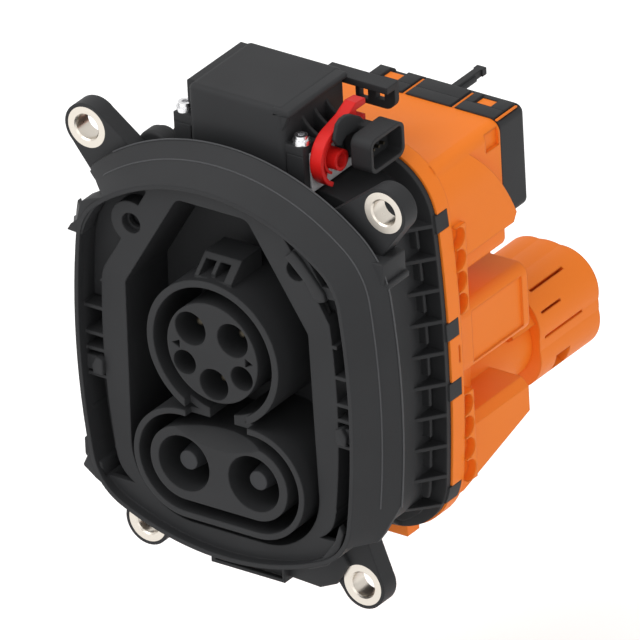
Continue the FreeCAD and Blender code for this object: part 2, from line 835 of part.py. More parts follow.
def ac_pin(x, z, radius):
    """Round contact pin with a rounded nose and a collar behind the carrier."""
    pin = rod_along_y(x, z, radius, ac_pin_front_y, ac_pin_back_y)
    nose = [edge for edge in pin.Edges if edge.CenterOfMass.y < ac_pin_front_y + 0.01]
    pin = pin.makeFillet(radius * 0.8, nose)
    return pin.fuse(rod_along_y(x, z, radius + pin_collar_extra, carrier_end_y, carrier_end_y + pin_collar_length))


def ac_power_contacts():
    """Line and neutral pins."""
    return Part.makeCompound([ac_pin(side * power_x, power_z, power_pin_radius) for side in (-1, 1)])


def ac_signal_contacts():
    """Pilot and proximity pins."""
    return Part.makeCompound([ac_pin(side * signal_x, signal_z, signal_pin_radius) for side in (-1, 1)])


def dc_collar_radius():
    """Collar that stops each DC contact behind its carrier."""
    return dc_shank_radius + pin_collar_extra


def dc_contact(side):
    """DC pin with collar, shank and crimp barrel."""
    x = side * dc_pitch / 2
    pin_front = dc_tip_front_y + dc_tip_length
    collar_back = carrier_end_y + pin_collar_length
    barrel_back = dc_barrel_y + dc_barrel_length
    pin = rod_along_y(x, dc_z, dc_pin_radius, pin_front, carrier_end_y)
    pin = pin.fuse([rod_along_y(x, dc_z, dc_collar_radius(), carrier_end_y, collar_back),
                    rod_along_y(x, dc_z, dc_shank_radius, collar_back, dc_barrel_y),
                    rod_along_y(x, dc_z, dc_barrel_radius, dc_barrel_y, barrel_back)])
    pin = pin.cut(rod_along_y(x, dc_z, dc_tip_stud_radius, pin_front - 1, pin_front + dc_tip_stud_length))
    return pin.cut(rod_along_y(x, dc_z, dc_barrel_bore_radius, dc_barrel_y + 2 * pin_collar_length, barrel_back + 1))


def dc_contact_tips():
    """Insulating tips with a stud that sits in each DC pin."""
    tips = []
    for side in (-1, 1):
        x = side * dc_pitch / 2
        taper_back = dc_tip_front_y + dc_tip_taper
        back = dc_tip_front_y + dc_tip_length
        tip = cone_along_y(x, dc_z, dc_tip_face_radius, dc_pin_radius, dc_tip_front_y, taper_back)
        tip = tip.fuse([rod_along_y(x, dc_z, dc_pin_radius, taper_back, back),
                        rod_along_y(x, dc_z, dc_tip_stud_radius, back, back + dc_tip_stud_length)])
        tips.append(tip)
    return Part.makeCompound(tips)


def contact_retainer():
    """Plate that holds all contacts from behind, with posts for the sensor board."""
    back = carrier_end_y + pin_collar_length + retainer_wall
    plate = rod_along_y(0, 0, core_radius + retainer_margin, carrier_end_y, back)
    plate = plate.fuse([racetrack(dc_core_radius + retainer_margin, carrier_end_y, back),
                        box(-core_radius / 2, core_radius / 2, carrier_end_y, back, dc_z, 0)]).removeSplitter()
    for x, z, hole, pin in ac_holes():
        plate = plate.cut(rod_along_y(x, z, pin + pin_collar_extra + fit_gap, carrier_end_y - 1,
                                      carrier_end_y + pin_collar_length))
        plate = plate.cut(rod_along_y(x, z, pin + fit_gap, carrier_end_y, back + 1))
    for side in (-1, 1):
        x = side * dc_pitch / 2
        plate = plate.cut(rod_along_y(x, dc_z, dc_collar_radius() + fit_gap, carrier_end_y - 1,
                                      carrier_end_y + pin_collar_length))
        plate = plate.cut(rod_along_y(x, dc_z, dc_shank_radius + fit_gap, carrier_end_y, back + 1))
    posts = [rod_along_y(x, z, board_post_radius, back, board_y)
             for x in (-board_post_x, board_post_x) for z in (-board_post_z, board_post_z)]
    return plate.fuse(posts)


def sensor_board():
    """Board with the temperature sensors, on the posts of the retainer."""
    board = box(-board_half_width, board_half_width, board_y, board_y + board_wall, board_bottom_z, board_top_z)
    for x, z, hole, pin in ac_holes():
        board = board.cut(rod_along_y(x, z, pin + fit_gap, board_y - 1, board_y + board_wall + 1))
    return board


def breather_cap():
    """Round vent cap with a cross slot, in front of its boss."""
    back = pocket_depth_y + floor_wall
    front = back - breather_length
    cap = rod_along_y(breather_x, breather_z, breather_radius, front, back)
    rim = [edge for edge in cap.Edges if edge.CenterOfMass.y < front + 0.01]
    cap = cap.makeFillet(breather_radius / 5, rim)
    slot = box(breather_x - breather_radius / 2, breather_x + breather_radius / 2, front - 1,
               front + breather_length / 4, breather_z - breather_radius / 8, breather_z + breather_radius / 8)
    return cap.cut(slot)


def rack_pitch_radius():
    """Pitch radius of the gear that drives the rack."""
    return gear_module * rack_gear_teeth / 2


def sector_pitch_radius():
    """Pitch radius of the toothed sector."""
    return gear_module * sector_teeth / 2


def pinion_pitch_radius():
    """Pitch radius of the motor pinion."""
    return gear_module * pinion_teeth / 2


def motor_axis():
    """Place of the motor's axis in Y and Z."""
    distance = sector_pitch_radius() + pinion_pitch_radius()
    angle = math.radians(motor_direction)
    return shaft_y + distance * math.cos(angle), shaft_z + distance * math.sin(angle)


def bolt_front_y():
    """Front face of the lock bolt, behind the cover's front wall."""
    return lock_front_y + lock_wall + bolt_gap


def involute(angle):
    """Involute function of a pressure angle in radians."""
    return math.tan(angle) - angle


def tooth_points(radius, centre_angle):
    """Points of one involute tooth, from its root over its head to its root, as radius and angle."""
    base = radius * math.cos(math.radians(pressure_angle))
    foot = radius - tooth_foot * gear_module
    head = radius + tooth_head * gear_module
    half = (math.pi * gear_module / 2 - tooth_backlash) / 2 / radius
    flank = []
    for step in range(4):
        place = max(base, foot) + (head - max(base, foot)) * step / 3
        lean = involute(math.acos(min(1.0, base / place)))
        flank.append((place, half + involute(math.radians(pressure_angle)) - lean))
    flank.insert(0, (foot, flank[0][1]))
    rising = [(place, centre_angle - lean) for place, lean in flank]
    falling = [(place, centre_angle + lean) for place, lean in reversed(flank)]
    return rising + falling


def gear_face(y, z, x, teeth, first_angle, count):
    """Flat face of a gear, or of a sector with fewer teeth than the full circle."""
    radius = gear_module * teeth / 2
    pitch = 2 * math.pi / teeth
    points = []
    for index in range(count):
        points += tooth_points(radius, first_angle + index * pitch)
    corners = [FreeCAD.Vector(x, y + place * math.cos(angle), z + place * math.sin(angle))
               for place, angle in points]
    if count < teeth:
        corners.append(FreeCAD.Vector(x, y, z))
    return Part.Face(Part.makePolygon(corners + corners[:1]))


def rack_gear():
    """Gear that drives the rack, with a gap between teeth facing the bolt."""
    x0 = -gear_width / 2
    face = gear_face(shaft_y, shaft_z, x0, rack_gear_teeth, math.pi, rack_gear_teeth)
    return face.extrude(FreeCAD.Vector(gear_width, 0, 0))


def sector():
    """Toothed sector that the motor pinion drives."""
    pitch = 2 * math.pi / sector_teeth
    travel_teeth = round(math.radians(lever_travel) / pitch)
    start = math.radians(motor_direction) - travel_teeth * pitch
    count = travel_teeth + 2
    face = gear_face(shaft_y, shaft_z, sector_x, sector_teeth, start, count)
    return face.extrude(FreeCAD.Vector(sector_width, 0, 0))


def drive_gear():
    """One moulding: gear for the rack, hub and toothed sector."""
    hub = rod_along_x(shaft_y, shaft_z, shaft_radius + 2 * gear_module, -gear_width / 2, sector_x + sector_width)
    gear = hub.fuse([rack_gear(), sector()])
    return gear.cut(rod_along_x(shaft_y, shaft_z, shaft_radius, -gear_width, sector_x + 2 * sector_width))


def shaft_end_x():
    """Inner end of the lever's shaft."""
    return lever_hub_end_x - lever_tool_depth


def drive_shaft():
    """Steel shaft through gear, bearings and lever."""
    return rod_along_x(shaft_y, shaft_z, shaft_radius, bearing_left_x - bearing_wall, shaft_end_x())


def shaft_clip():
    """Retaining ring on the inner end of the shaft."""
    x1 = bearing_left_x - 2 * fit_gap
    x0 = x1 - bearing_wall / 3
    ring = rod_along_x(shaft_y, shaft_z, shaft_radius + 1.5, x0, x1)
    ring = ring.cut(rod_along_x(shaft_y, shaft_z, shaft_radius, x0 - 1, x1 + 1))
    gap = box(x0 - 1, x1 + 1, shaft_y - shaft_radius / 2, shaft_y + shaft_radius / 2, shaft_z,
              shaft_z + 2 * shaft_radius)
    return ring.cut(gap)


def motor_pinion():
    """Pinion on the motor's shaft, with a gap facing the sector's middle tooth."""
    y, z = motor_axis()
    pitch = 2 * math.pi / pinion_teeth
    start = math.radians(motor_direction) + math.pi + pitch / 2
    face = gear_face(y, z, sector_x, pinion_teeth, start, pinion_teeth)
    pinion = face.extrude(FreeCAD.Vector(sector_width, 0, 0))
    return pinion.cut(rod_along_x(y, z, motor_shaft_radius, sector_x - 1, sector_x + sector_width + 1))


def motor_end_x():
    """Face of the motor next to its pinion."""
    return sector_x - motor_end_gap


def motor_shaft():
    """Shaft of the lock motor."""
    y, z = motor_axis()
    return rod_along_x(y, z, motor_shaft_radius, motor_end_x() - motor_length / 2, sector_x + sector_width + 0.5)


def lock_motor():
    """Small motor can with a bearing nose."""
    y, z = motor_axis()
    can = rod_along_x(y, z, motor_radius, motor_end_x() - motor_length, motor_end_x())
    can = can.makeFillet(lock_fillet / 2, [edge for edge in can.Edges if edge.isClosed()])
    can = can.fuse(rod_along_x(y, z, 2 * motor_shaft_radius, motor_end_x() - 1, motor_end_x() + motor_end_gap / 2))
    return can.cut(rod_along_x(y, z, motor_shaft_radius + running_gap, motor_end_x() - motor_length / 2 - 1,
                               sector_x))


def bolt_travel():
    """Travel of the bolt over the lever's whole turn."""
    return rack_pitch_radius() * math.radians(lever_travel)


def lock_bolt():
    """Bolt with a nose below and a rack above."""
    pitch_line = shaft_y - rack_pitch_radius()
    root = pitch_line - tooth_foot * gear_module
    head = pitch_line + tooth_head * gear_module
    nose = box(-bolt_half_width, bolt_half_width, bolt_front_y(), bolt_nose_back_y, bolt_nose_z, bolt_nose_top_z)
    bar = box(-bolt_half_width, bolt_half_width, bolt_front_y(), root, bolt_nose_z, bolt_top_z)
    pitch = math.pi * gear_module
    lean = math.tan(math.radians(pressure_angle))
    half = pitch / 4 - tooth_backlash / 4
    teeth = []
    index = math.ceil((rack_bottom_z + pitch / 2 - shaft_z) / pitch - 0.5)
    z = shaft_z + (index + 0.5) * pitch
    while z < bolt_top_z - pitch / 2:
        wide = half + tooth_foot * gear_module * lean
        slim = half - tooth_head * gear_module * lean
        points = [(root - 0.5, z - wide), (root, z - wide), (head, z - slim),
                  (head, z + slim), (root, z + wide), (root - 0.5, z + wide)]
        teeth.append(profile_along_x(points, -bolt_half_width, bolt_half_width))
        z += pitch
    return nose.fuse([bar] + teeth).removeSplitter()


def bolt_seal():
    """Rubber frame round the bolt, between pocket wall and actuator."""
    y1 = pocket_depth_y
    y0 = bolt_front_y() - bolt_seal_wall / 4
    half = bolt_half_width + bolt_seal_wall
    frame = box(-half, half, y0, y1, pocket_top_z + pocket_wall, roof_z)
    return frame.cut(bolt_way(running_gap, pocket_top_z, roof_z + 1))


def shaft_hole(clearance, x0, x1):
    """Hole for the drive shaft."""
    return rod_along_x(shaft_y, shaft_z, shaft_radius + clearance, x0, x1)


def lock_base():
    """Floor of the actuator with wings, screw posts, bearings, bolt guides and motor saddles."""
    floor_top = roof_z + lock_floor
    floor = box(-lock_half_width, lock_half_width, lock_front_y, lock_back_y, roof_z, floor_top)
    right_back = wing_front_y + right_wing_depth
    wings = [box(-wing_half_width, -lock_half_width - fit_gap, wing_front_y, wing_front_y + left_wing_depth,
                 floor_top, post_top_z),
             box(lock_half_width + fit_gap, wing_half_width, wing_front_y, right_back, floor_top, post_top_z),
             box(-wing_half_width, wing_half_width, wing_front_y, wing_front_y + left_wing_depth, roof_z, floor_top),
             box(0, wing_half_width, wing_front_y, right_back, roof_z, floor_top)]
    bearing_y0 = bolt_nose_back_y + bolt_gap
    bearing_y1 = 2 * shaft_y - bearing_y0
    right_x = sector_x + sector_width + 1
    bearings = [box(bearing_left_x, bearing_left_x + bearing_wall, bearing_y0, bearing_y1, floor_top,
                    shaft_z + 2 * shaft_radius),
                box(right_x, right_x + bearing_wall, bearing_y0, bearing_y1, floor_top,
                    shaft_z + 2 * shaft_radius)]
    guide_x0 = bolt_half_width + fit_gap
    guide = box(guide_x0, guide_x0 + lock_wall, bolt_front_y(), bolt_nose_back_y - bolt_gap,
                floor_top, bolt_top_z)
    motor_y, motor_z = motor_axis()
    saddles = []
    for x in (motor_end_x() - motor_length * 0.85, motor_end_x() - motor_length * 0.2):
        saddles.append(box(x, x + lock_wall, motor_y - motor_radius, motor_y + motor_radius, floor_top, motor_z))
    base = floor.fuse(wings + bearings + [guide, mirrored(guide)] + saddles)
    pocket = box(lock_half_width + lock_wall, wing_half_width - lock_wall, shaft_y + 2 * lug_top_gap(),
                 right_back - lock_wall, roof_z + 2 * lock_wall, post_top_z + 1)
    base = base.cut(rod_along_x(motor_y, motor_z, motor_radius, -lock_half_width, lock_half_width))
    base = base.cut(pocket)
    base = base.cut(bolt_way(fit_gap, roof_z - 1, floor_top + 1))
    base = base.cut(shaft_hole(running_gap, bearing_left_x - 1, wing_half_width + 1))
    for side in (-1, 1):
        base = base.cut(rod_along_z(side * screw_x, screw_y, screw_radius, lug_top_z - screw_length, lug_top_z))
    return base.removeSplitter()


def lug_top_gap():
    """Height of the cover's screw lug."""
    return lug_top_z - post_top_z


def lock_cover():
    """Hood of the actuator with two screw lugs, a pad on its left and ribs on its right side."""
    bottom = roof_z + lock_floor
    hood = box(-lock_half_width, lock_half_width, lock_front_y, lock_back_y, bottom, lock_top_z)
    upright = edges_along(hood, FreeCAD.Vector(0, 0, 1))
    upper = [edge for edge in hood.Edges if edge.CenterOfMass.z > lock_top_z - 0.01]
    hood = hood.makeFillet(lock_fillet, upright + upper)
    lugs = []
    for side in (-1, 1):
        reach = sorted((side * (lock_half_width - lock_wall), side * wing_half_width))
        lugs.append(box(reach[0], reach[1], wing_front_y, wing_front_y + post_depth, post_top_z, lug_top_z))
    ribs = []
    for index in range(rib_count):
        y = rib_first_y + index * rib_pitch
        corner = FreeCAD.Vector(lock_half_width - lock_wall, y, post_top_z)
        top = FreeCAD.Vector(lock_half_width - lock_wall, y, rib_top_z)
        low = FreeCAD.Vector(wing_half_width, y, lug_top_z)
        foot = FreeCAD.Vector(wing_half_width, y, post_top_z)
        middle = FreeCAD.Vector(lock_half_width + lock_wall, y, lug_top_z + lug_top_gap())
        curve = Part.Arc(top, middle, low).toShape()
        wire = Part.Wire([Part.makeLine(corner, top), curve, Part.makeLine(low, foot), Part.makeLine(foot, corner)])
        ribs.append(Part.Face(wire).extrude(FreeCAD.Vector(0, rib_wall, 0)))
    pad = box(-lock_half_width - lock_pad_reach, -lock_half_width + lock_wall, lock_pad_front_y,
              lock_back_y - lock_fillet, lug_top_z + screw_head_height + fit_gap, lock_top_z - lock_pad_drop)
    pad = pad.makeFillet(lock_pad_fillet, edges_along(pad, FreeCAD.Vector(0, 1, 0)))
    cover = hood.fuse(lugs + ribs + [pad])
    inside = box(-lock_half_width + lock_wall, lock_half_width - lock_wall, lock_front_y + lock_wall,
                 lock_back_y - lock_wall, bottom - 1, lock_top_z - lock_wall)
    cover = cover.cut(inside)
    slot = shaft_hole(bolt_gap, lock_half_width - 2 * lock_wall, lock_half_width + fit_gap)
    slot = slot.fuse(box(lock_half_width - 2 * lock_wall, lock_half_width + fit_gap,
                         shaft_y - shaft_radius - bolt_gap, shaft_y + shaft_radius + bolt_gap, bottom - 1, shaft_z))
    cover = cover.cut(slot)
    for side in (-1, 1):
        cover = cover.cut(rod_along_z(side * screw_x, screw_y, screw_radius, post_top_z - 1, lug_top_z + 1))
    return cover


def lock_screws():
    """Two cover screws with a washer face and a drive recess."""
    screws = []
    for side in (-1, 1):
        x = side * screw_x
        head_top = lug_top_z + screw_head_height
        screw = rod_along_z(x, screw_y, screw_radius, lug_top_z - screw_length, lug_top_z)
        screw = screw.fuse([rod_along_z(x, screw_y, screw_head_radius * 1.05, lug_top_z,
                                        lug_top_z + screw_head_height / 2),
                            rod_along_z(x, screw_y, screw_head_radius * 0.8, lug_top_z, head_top)])
        recess = Part.makePolygon([FreeCAD.Vector(x + screw_drive_radius * math.cos(math.radians(60 * corner)),
                                                  screw_y + screw_drive_radius * math.sin(math.radians(60 * corner)),
                                                  head_top - screw_drive_depth) for corner in range(7)])
        screws.append(screw.cut(Part.Face(recess).extrude(FreeCAD.Vector(0, 0, 2 * screw_drive_depth))))
    return Part.makeCompound(screws)


def lever_plate():
    """Thin plate between actuator and release lever."""
    bottom = roof_z + lock_floor / 2
    points = [(wing_front_y + 3.0, bottom), (wing_front_y + 3.0, post_top_z), (shaft_y + 3.5, post_top_z),
              (shaft_y + 8.0, neck_z - 0.5), (shaft_y + 14.5, neck_z - 2.5), (shaft_y + 14.5, bottom)]
    plate = profile_along_x(points, wing_half_width, wing_half_width + plate_thickness)
    return plate.cut(shaft_hole(fit_gap, wing_half_width - 1, wing_half_width + 1))


def half_ring(radius, wall, width):
    """Open ring on the lever's front side, from straight above to below the pivot."""
    y = shaft_y + lever_ring_dy
    z = shaft_z + lever_ring_dz
    ring = rod_along_x(y, z, radius, lever_x, lever_x + width)
    if wall < radius:
        ring = ring.cut(rod_along_x(y, z, radius - wall, lever_x - 1, lever_x + width + 1))
    far = 2 * lever_ring_radius
    low = math.radians(245)
    points = [(y, z), (y, z + far), (y - far, z + far), (y - far, z - far),
              (y + far * math.cos(low), z + far * math.sin(low))]
    return ring.common(profile_along_x(points, lever_x, lever_x + width))


def release_lever():
    """Emergency release lever: hub with a tool socket, open ring and a hook for the release cable."""
    hub = rod_along_x(shaft_y, shaft_z, lever_hub_radius, lever_x, lever_hub_end_x)
    ring = half_ring(lever_ring_radius, lever_ring_wall, lever_width)
    web = half_ring(lever_ring_radius - lever_ring_wall / 2, lever_ring_radius, lever_web)
    inner = half_ring(lever_inner_ring_radius, lever_inner_ring_wall, lever_width * 0.7)
    root = lever_ring_radius + lever_ring_dz - lever_ring_wall
    tip_y = 15.4
    slot_top = 12.5
    slot_y = tip_y - hook_slot_depth
    points = [(-1.5, root + lever_ring_wall - 0.2), (5.3, 12.3), (10.5, 14.9), (tip_y, 14.4), (tip_y, slot_top),
              (slot_y, slot_top), (slot_y, slot_top - hook_slot), (tip_y - 0.4, slot_top - hook_slot),
              (tip_y - 0.4, 7.2), (8.5, 7.2), (3.0, 8.2), (-1.5, root - 0.4)]
    arm = profile_along_x([(shaft_y + dy, shaft_z + dz) for dy, dz in points], lever_x, lever_x + lever_width)
    lever = hub.fuse([ring, web, inner, arm])
    lever = lever.cut(rod_along_x(shaft_y, shaft_z, shaft_radius, lever_x - 1, shaft_end_x()))
    return lever.cut(rod_along_x(shaft_y, shaft_z, lever_tool_radius, shaft_end_x(), lever_hub_end_x + 1))


def signal_pins():
    """Flat pins of the signal connector."""
    pins = []
    for column in range(plug_pin_columns):
        for row in range(plug_pin_rows):
            y = plug_y + (column - (plug_pin_columns - 1) / 2) * plug_pin_pitch
            z = plug_z + (row - (plug_pin_rows - 1) / 2) * plug_pin_pitch
            pins.append(box(plug_x - plug_back_wall, plug_x + plug_pin_reach, y - plug_pin_half, y + plug_pin_half,
                            z - plug_pin_half, z + plug_pin_half))
    return Part.makeCompound(pins)


def signal_connector():
    """D-shaped shroud on a neck at the side of the actuator, with a keeper in front of the lever's arm."""
    along = FreeCAD.Vector(1, 0, 0)
    y0 = plug_y - plug_width / 2
    y1 = plug_y + plug_width / 2
    z0 = plug_z - plug_height / 2
    z1 = plug_z + plug_height / 2
    shroud = rounded_box(plug_x, plug_mouth_x, y0, y1, z0, z1, plug_corner, along)
    inside = rounded_box(plug_x + plug_back_wall, plug_mouth_x + 1, y0 + plug_wall, y1 - plug_wall,
                         z0 + plug_wall, z1 - plug_wall, plug_corner - plug_wall, along)
    neck = box(wing_half_width, plug_x + plug_back_wall / 2, neck_y, neck_y + neck_depth, neck_z, neck_z + neck_height)
    keeper_x = lever_x + lever_width + moving_gap
    keeper = profile_along_x([(shaft_y + dy, shaft_z + dz) for dy, dz in keeper_outline],
                             keeper_x, keeper_x + keeper_wall)
    near, far, low, high = keeper_link
    link = box(keeper_x, plug_x + plug_back_wall / 2, shaft_y + near, shaft_y + far, shaft_z + low, shaft_z + high)
    body = shroud.fuse([neck, keeper, link]).cut(inside)
    return body.cut(signal_pins())


def cable_guide():
    """Bracket behind the actuator with two windows for the release cable's end."""
    back = guide_y + guide_wall
    plate = box(guide_x, guide_x + guide_width, guide_y, back, guide_z, guide_top_z)
    corner = [edge for edge in edges_along(plate, FreeCAD.Vector(0, 1, 0))
              if edge.CenterOfMass.z < guide_z + 1 and edge.CenterOfMass.x > guide_x + 1]
    plate = plate.makeFillet(guide_corner, corner)
    arm = box(lock_half_width / 2, guide_x + guide_width, lock_back_y, back, guide_top_z - guide_wall, guide_top_z)
    bracket = plate.fuse(arm)
    for index in range(2):
        x = guide_x + lock_wall + index * guide_window_step
        top = guide_top_z - guide_wall - 1.5 + index * guide_window_rise
        bracket = bracket.cut(box(x, x + guide_window_width, guide_y - 1, back + 1, top - guide_window_height, top))
    return bracket


def seat_y():
    """Front face of the rear housing, on the squeezed seal."""
    return flange_y + seal_squeeze


def dome(outset, y0, y1):
    """Tapering dome of the rear housing between two planes."""
    front = body_wire(-dome_inset + outset, y0)
    back = body_wire(-dome_back_inset + outset, y1)
    return Part.makeLoft([front, back], True, True)


def upper_box(inset, y0, y1):
    """Box on top of the dome for the cable exit."""
    return rounded_box(upper_box_left + inset, upper_box_right - inset, y0, y1, upper_box_bottom_z + inset,
                       upper_box_top_z - inset, upper_box_corner - inset / 2, FreeCAD.Vector(0, 1, 0))


def middle_box(inset, y0, y1):
    """Box below it on the right."""
    return rounded_box(middle_box_left + inset, middle_box_right - inset, y0, y1, middle_box_bottom_z + inset,
                       middle_box_top_z - inset, upper_box_corner - inset / 2, FreeCAD.Vector(0, 1, 0))


def lower_box(inset, y0, y1):
    """Box round the DC outlets with a sloping underside."""
    points = [(y0, lower_box_bottom_z + inset), (lower_box_slope_y, lower_box_bottom_z + inset),
              (y1, lower_box_rear_z + inset), (y1, lower_box_top_z - inset), (y0, lower_box_top_z - inset)]
    return profile_along_x(points, -lower_box_half + inset, lower_box_half - inset)


def scallop_block(centre_z):
    """Solid block behind the band that a row of scoops is cut into."""
    band_back = seat_y() + band_depth
    half = scallop_pitch * scallop_count / 2
    outer = body_half_width + scallop_reach
    block = box(outer - 3 * scallop_floor, outer, band_back, band_back + scallop_depth,
                centre_z - half, centre_z + half)
    return [block, mirrored(block)]


def scoops(centre_z):
    """Row of round scoops behind the band, on both sides."""
    back = seat_y() + band_depth
    outer = body_half_width + scallop_reach
    bowls = []
    for index in range(scallop_count):
        z = centre_z + (index - (scallop_count - 1) / 2) * scallop_pitch
        bowl = rod_along_x(back + scallop_radius / 4, z, scallop_radius, outer - scallop_floor, outer + 1)
        bowl = bowl.common(box(0, outer + 1, back, back + scallop_depth, z - scallop_pitch, z + scallop_pitch))
        bowls += [bowl, mirrored(bowl)]
    return bowls


def fender(inset, y0):
    """Curved right flank of the upper box, flush with the band."""
    x0 = body_half_width / 2
    top = upper_box_top_z - inset
    corners = [FreeCAD.Vector(x0, y0, top), FreeCAD.Vector(x0, y0, fender_bottom_z + inset),
               FreeCAD.Vector(x0, fender_tip_y - 2 - inset, fender_bottom_z + inset),
               FreeCAD.Vector(x0, fender_tip_y - inset, fender_tip_z + inset),
               FreeCAD.Vector(x0, fender_top_y - inset, top)]
    middle = FreeCAD.Vector(x0, fender_middle_y - inset, fender_middle_z)
    edges = [Part.makeLine(corners[0], corners[1]), Part.makeLine(corners[1], corners[2]),
             Part.makeLine(corners[2], corners[3]), Part.Arc(corners[3], middle, corners[4]).toShape(),
             Part.makeLine(corners[4], corners[0])]
    flank = Part.Face(Part.Wire(edges)).extrude(FreeCAD.Vector(body_half_width, 0, 0))
    return flank.common(body_prism(scallop_reach - inset, y0, fender_tip_y + 1))


def band_cuts():
    """Notches for the snap lugs, a gap at the bottom and a thin slot at the snap arm."""
    front = seat_y()
    outer = body_half_width + band_reach
    slot_back = front + band_depth - clip_slot_depth
    slot = box(outer - clip_slot_depth, outer + 1, slot_back - clip_slot_width, slot_back,
               clip_slot_z - clip_slot_height / 2, clip_slot_z + clip_slot_height / 2)
    gap = box(band_gap_x - band_gap_width / 2, band_gap_x + band_gap_width / 2, front - 1, front + band_depth / 2,
              body_bottom_z - band_reach - 1, body_bottom_z + core_inset)
    return snap_lugs(fit_gap) + [slot, mirrored(slot), gap]


def outlet_way(radius, y0, y1):
    """Two round bars along the DC cable outlets."""
    left = rod_along_y(-outlet_x, outlet_z, radius, y0, y1)
    return left.fuse(mirrored(left))


def cap_opening(extra):
    """Rear opening of the upper box, inside the rear cap."""
    return cap_left + extra, upper_box_right - extra, cap_bottom_z + extra, upper_box_top_z - extra


def rear_housing():
    """Orange shell: band, dome, boxes, DC outlets and the spigot under the rear cap."""
    front = seat_y()
    band_back = front + band_depth
    spigot_back = cap_y + cap_spigot_length
    outlet_back = outlet_y + outlet_spigot_length
    x0, x1, z0, z1 = cap_opening(cap_wall + fit_gap)
    spigot = rounded_box(x0, x1, upper_box_y - rear_wall, spigot_back, z0, z1, cap_corner - cap_wall,
                         FreeCAD.Vector(0, 1, 0))
    shell = body_prism(band_reach, front, band_back)
    parts = [dome(0, band_back - 0.5, dome_y), upper_box(0, band_back - 0.5, upper_box_y),
             middle_box(0, band_back, middle_box_y), lower_box(0, band_back, lower_box_y), spigot,
             outlet_way(outlet_radius, dome_y - rear_wall, outlet_y),
             outlet_way(outlet_spigot_radius, outlet_y - 1, outlet_back)]
    parts += scallop_block(upper_scallop_z) + scallop_block(lower_scallop_z)
    parts += [fender(0, front + band_depth / 2),
              box(band_tab_left, band_tab_right, front, band_back, band_tab_z, body_bottom_z + core_inset)]
    shell = shell.fuse(parts)
    open_y = lock_back_y + rear_wall + moving_gap
    hollows = [core_prism(-core_inset - core_wall, cavity_top_z(), front - 1, open_y + 1),
               dome(-rear_wall, open_y, dome_y - rear_wall),
               upper_box(rear_wall, open_y, upper_box_y - rear_wall),
               fender(rear_wall, open_y),
               middle_box(rear_wall, band_back, middle_box_y - rear_wall),
               lower_box(rear_wall, band_back, lower_box_y - rear_wall),
               outlet_way(outlet_spigot_radius - outlet_spigot_wall, dome_y - 2 * rear_wall, outlet_back + 1)]
    x0, x1, z0, z1 = cap_opening(cap_wall + fit_gap + rear_wall)
    hollows.append(box(x0, x1, upper_box_y - 2 * rear_wall, spigot_back + 1, z0, z1))
    shell = shell.cut(hollows[0].fuse(hollows[1:]))
    cuts = scoops(upper_scallop_z) + scoops(lower_scallop_z) + band_cuts() + lower_box_edges()
    shell = shell.cut(cuts[0].fuse(cuts[1:]))
    lock_space = box(-lock_half_width - moving_gap, lock_half_width + moving_gap, front - 1,
                     lock_back_y + moving_gap, roof_z, lock_top_z)
    shell = shell.cut(lock_space)
    tab_half = cap_window_width / 2 - 2 * fit_gap
    for x in cap_window_x:
        shell = shell.fuse(box(x - tab_half, x + tab_half, cap_window_y - cap_window_depth / 2 + 2 * fit_gap,
                               cap_window_y + cap_window_depth / 2 - 2 * fit_gap,
                               upper_box_top_z - cap_wall - 2 * fit_gap, upper_box_top_z - 2 * fit_gap))
    panel = box(middle_box_right - middle_panel_depth, middle_box_right + 1, band_back + 4 * middle_panel_inset,
                middle_box_y - middle_panel_inset, middle_box_bottom_z + middle_panel_inset,
                middle_box_top_z - middle_panel_inset)
    return shell.cut(panel)


def lower_box_edges():
    """Wedges that bevel the two upper edges of the lower box."""
    edge = lower_box_half + fit_gap
    top = lower_box_top_z + fit_gap
    corner = [(edge - lower_box_chamfer, top), (edge, top), (edge, top - lower_box_chamfer)]
    wedge = profile_along_y(corner, seat_y() + band_depth + scallop_depth, lower_box_y + 1)
    return [wedge, mirrored(wedge)]


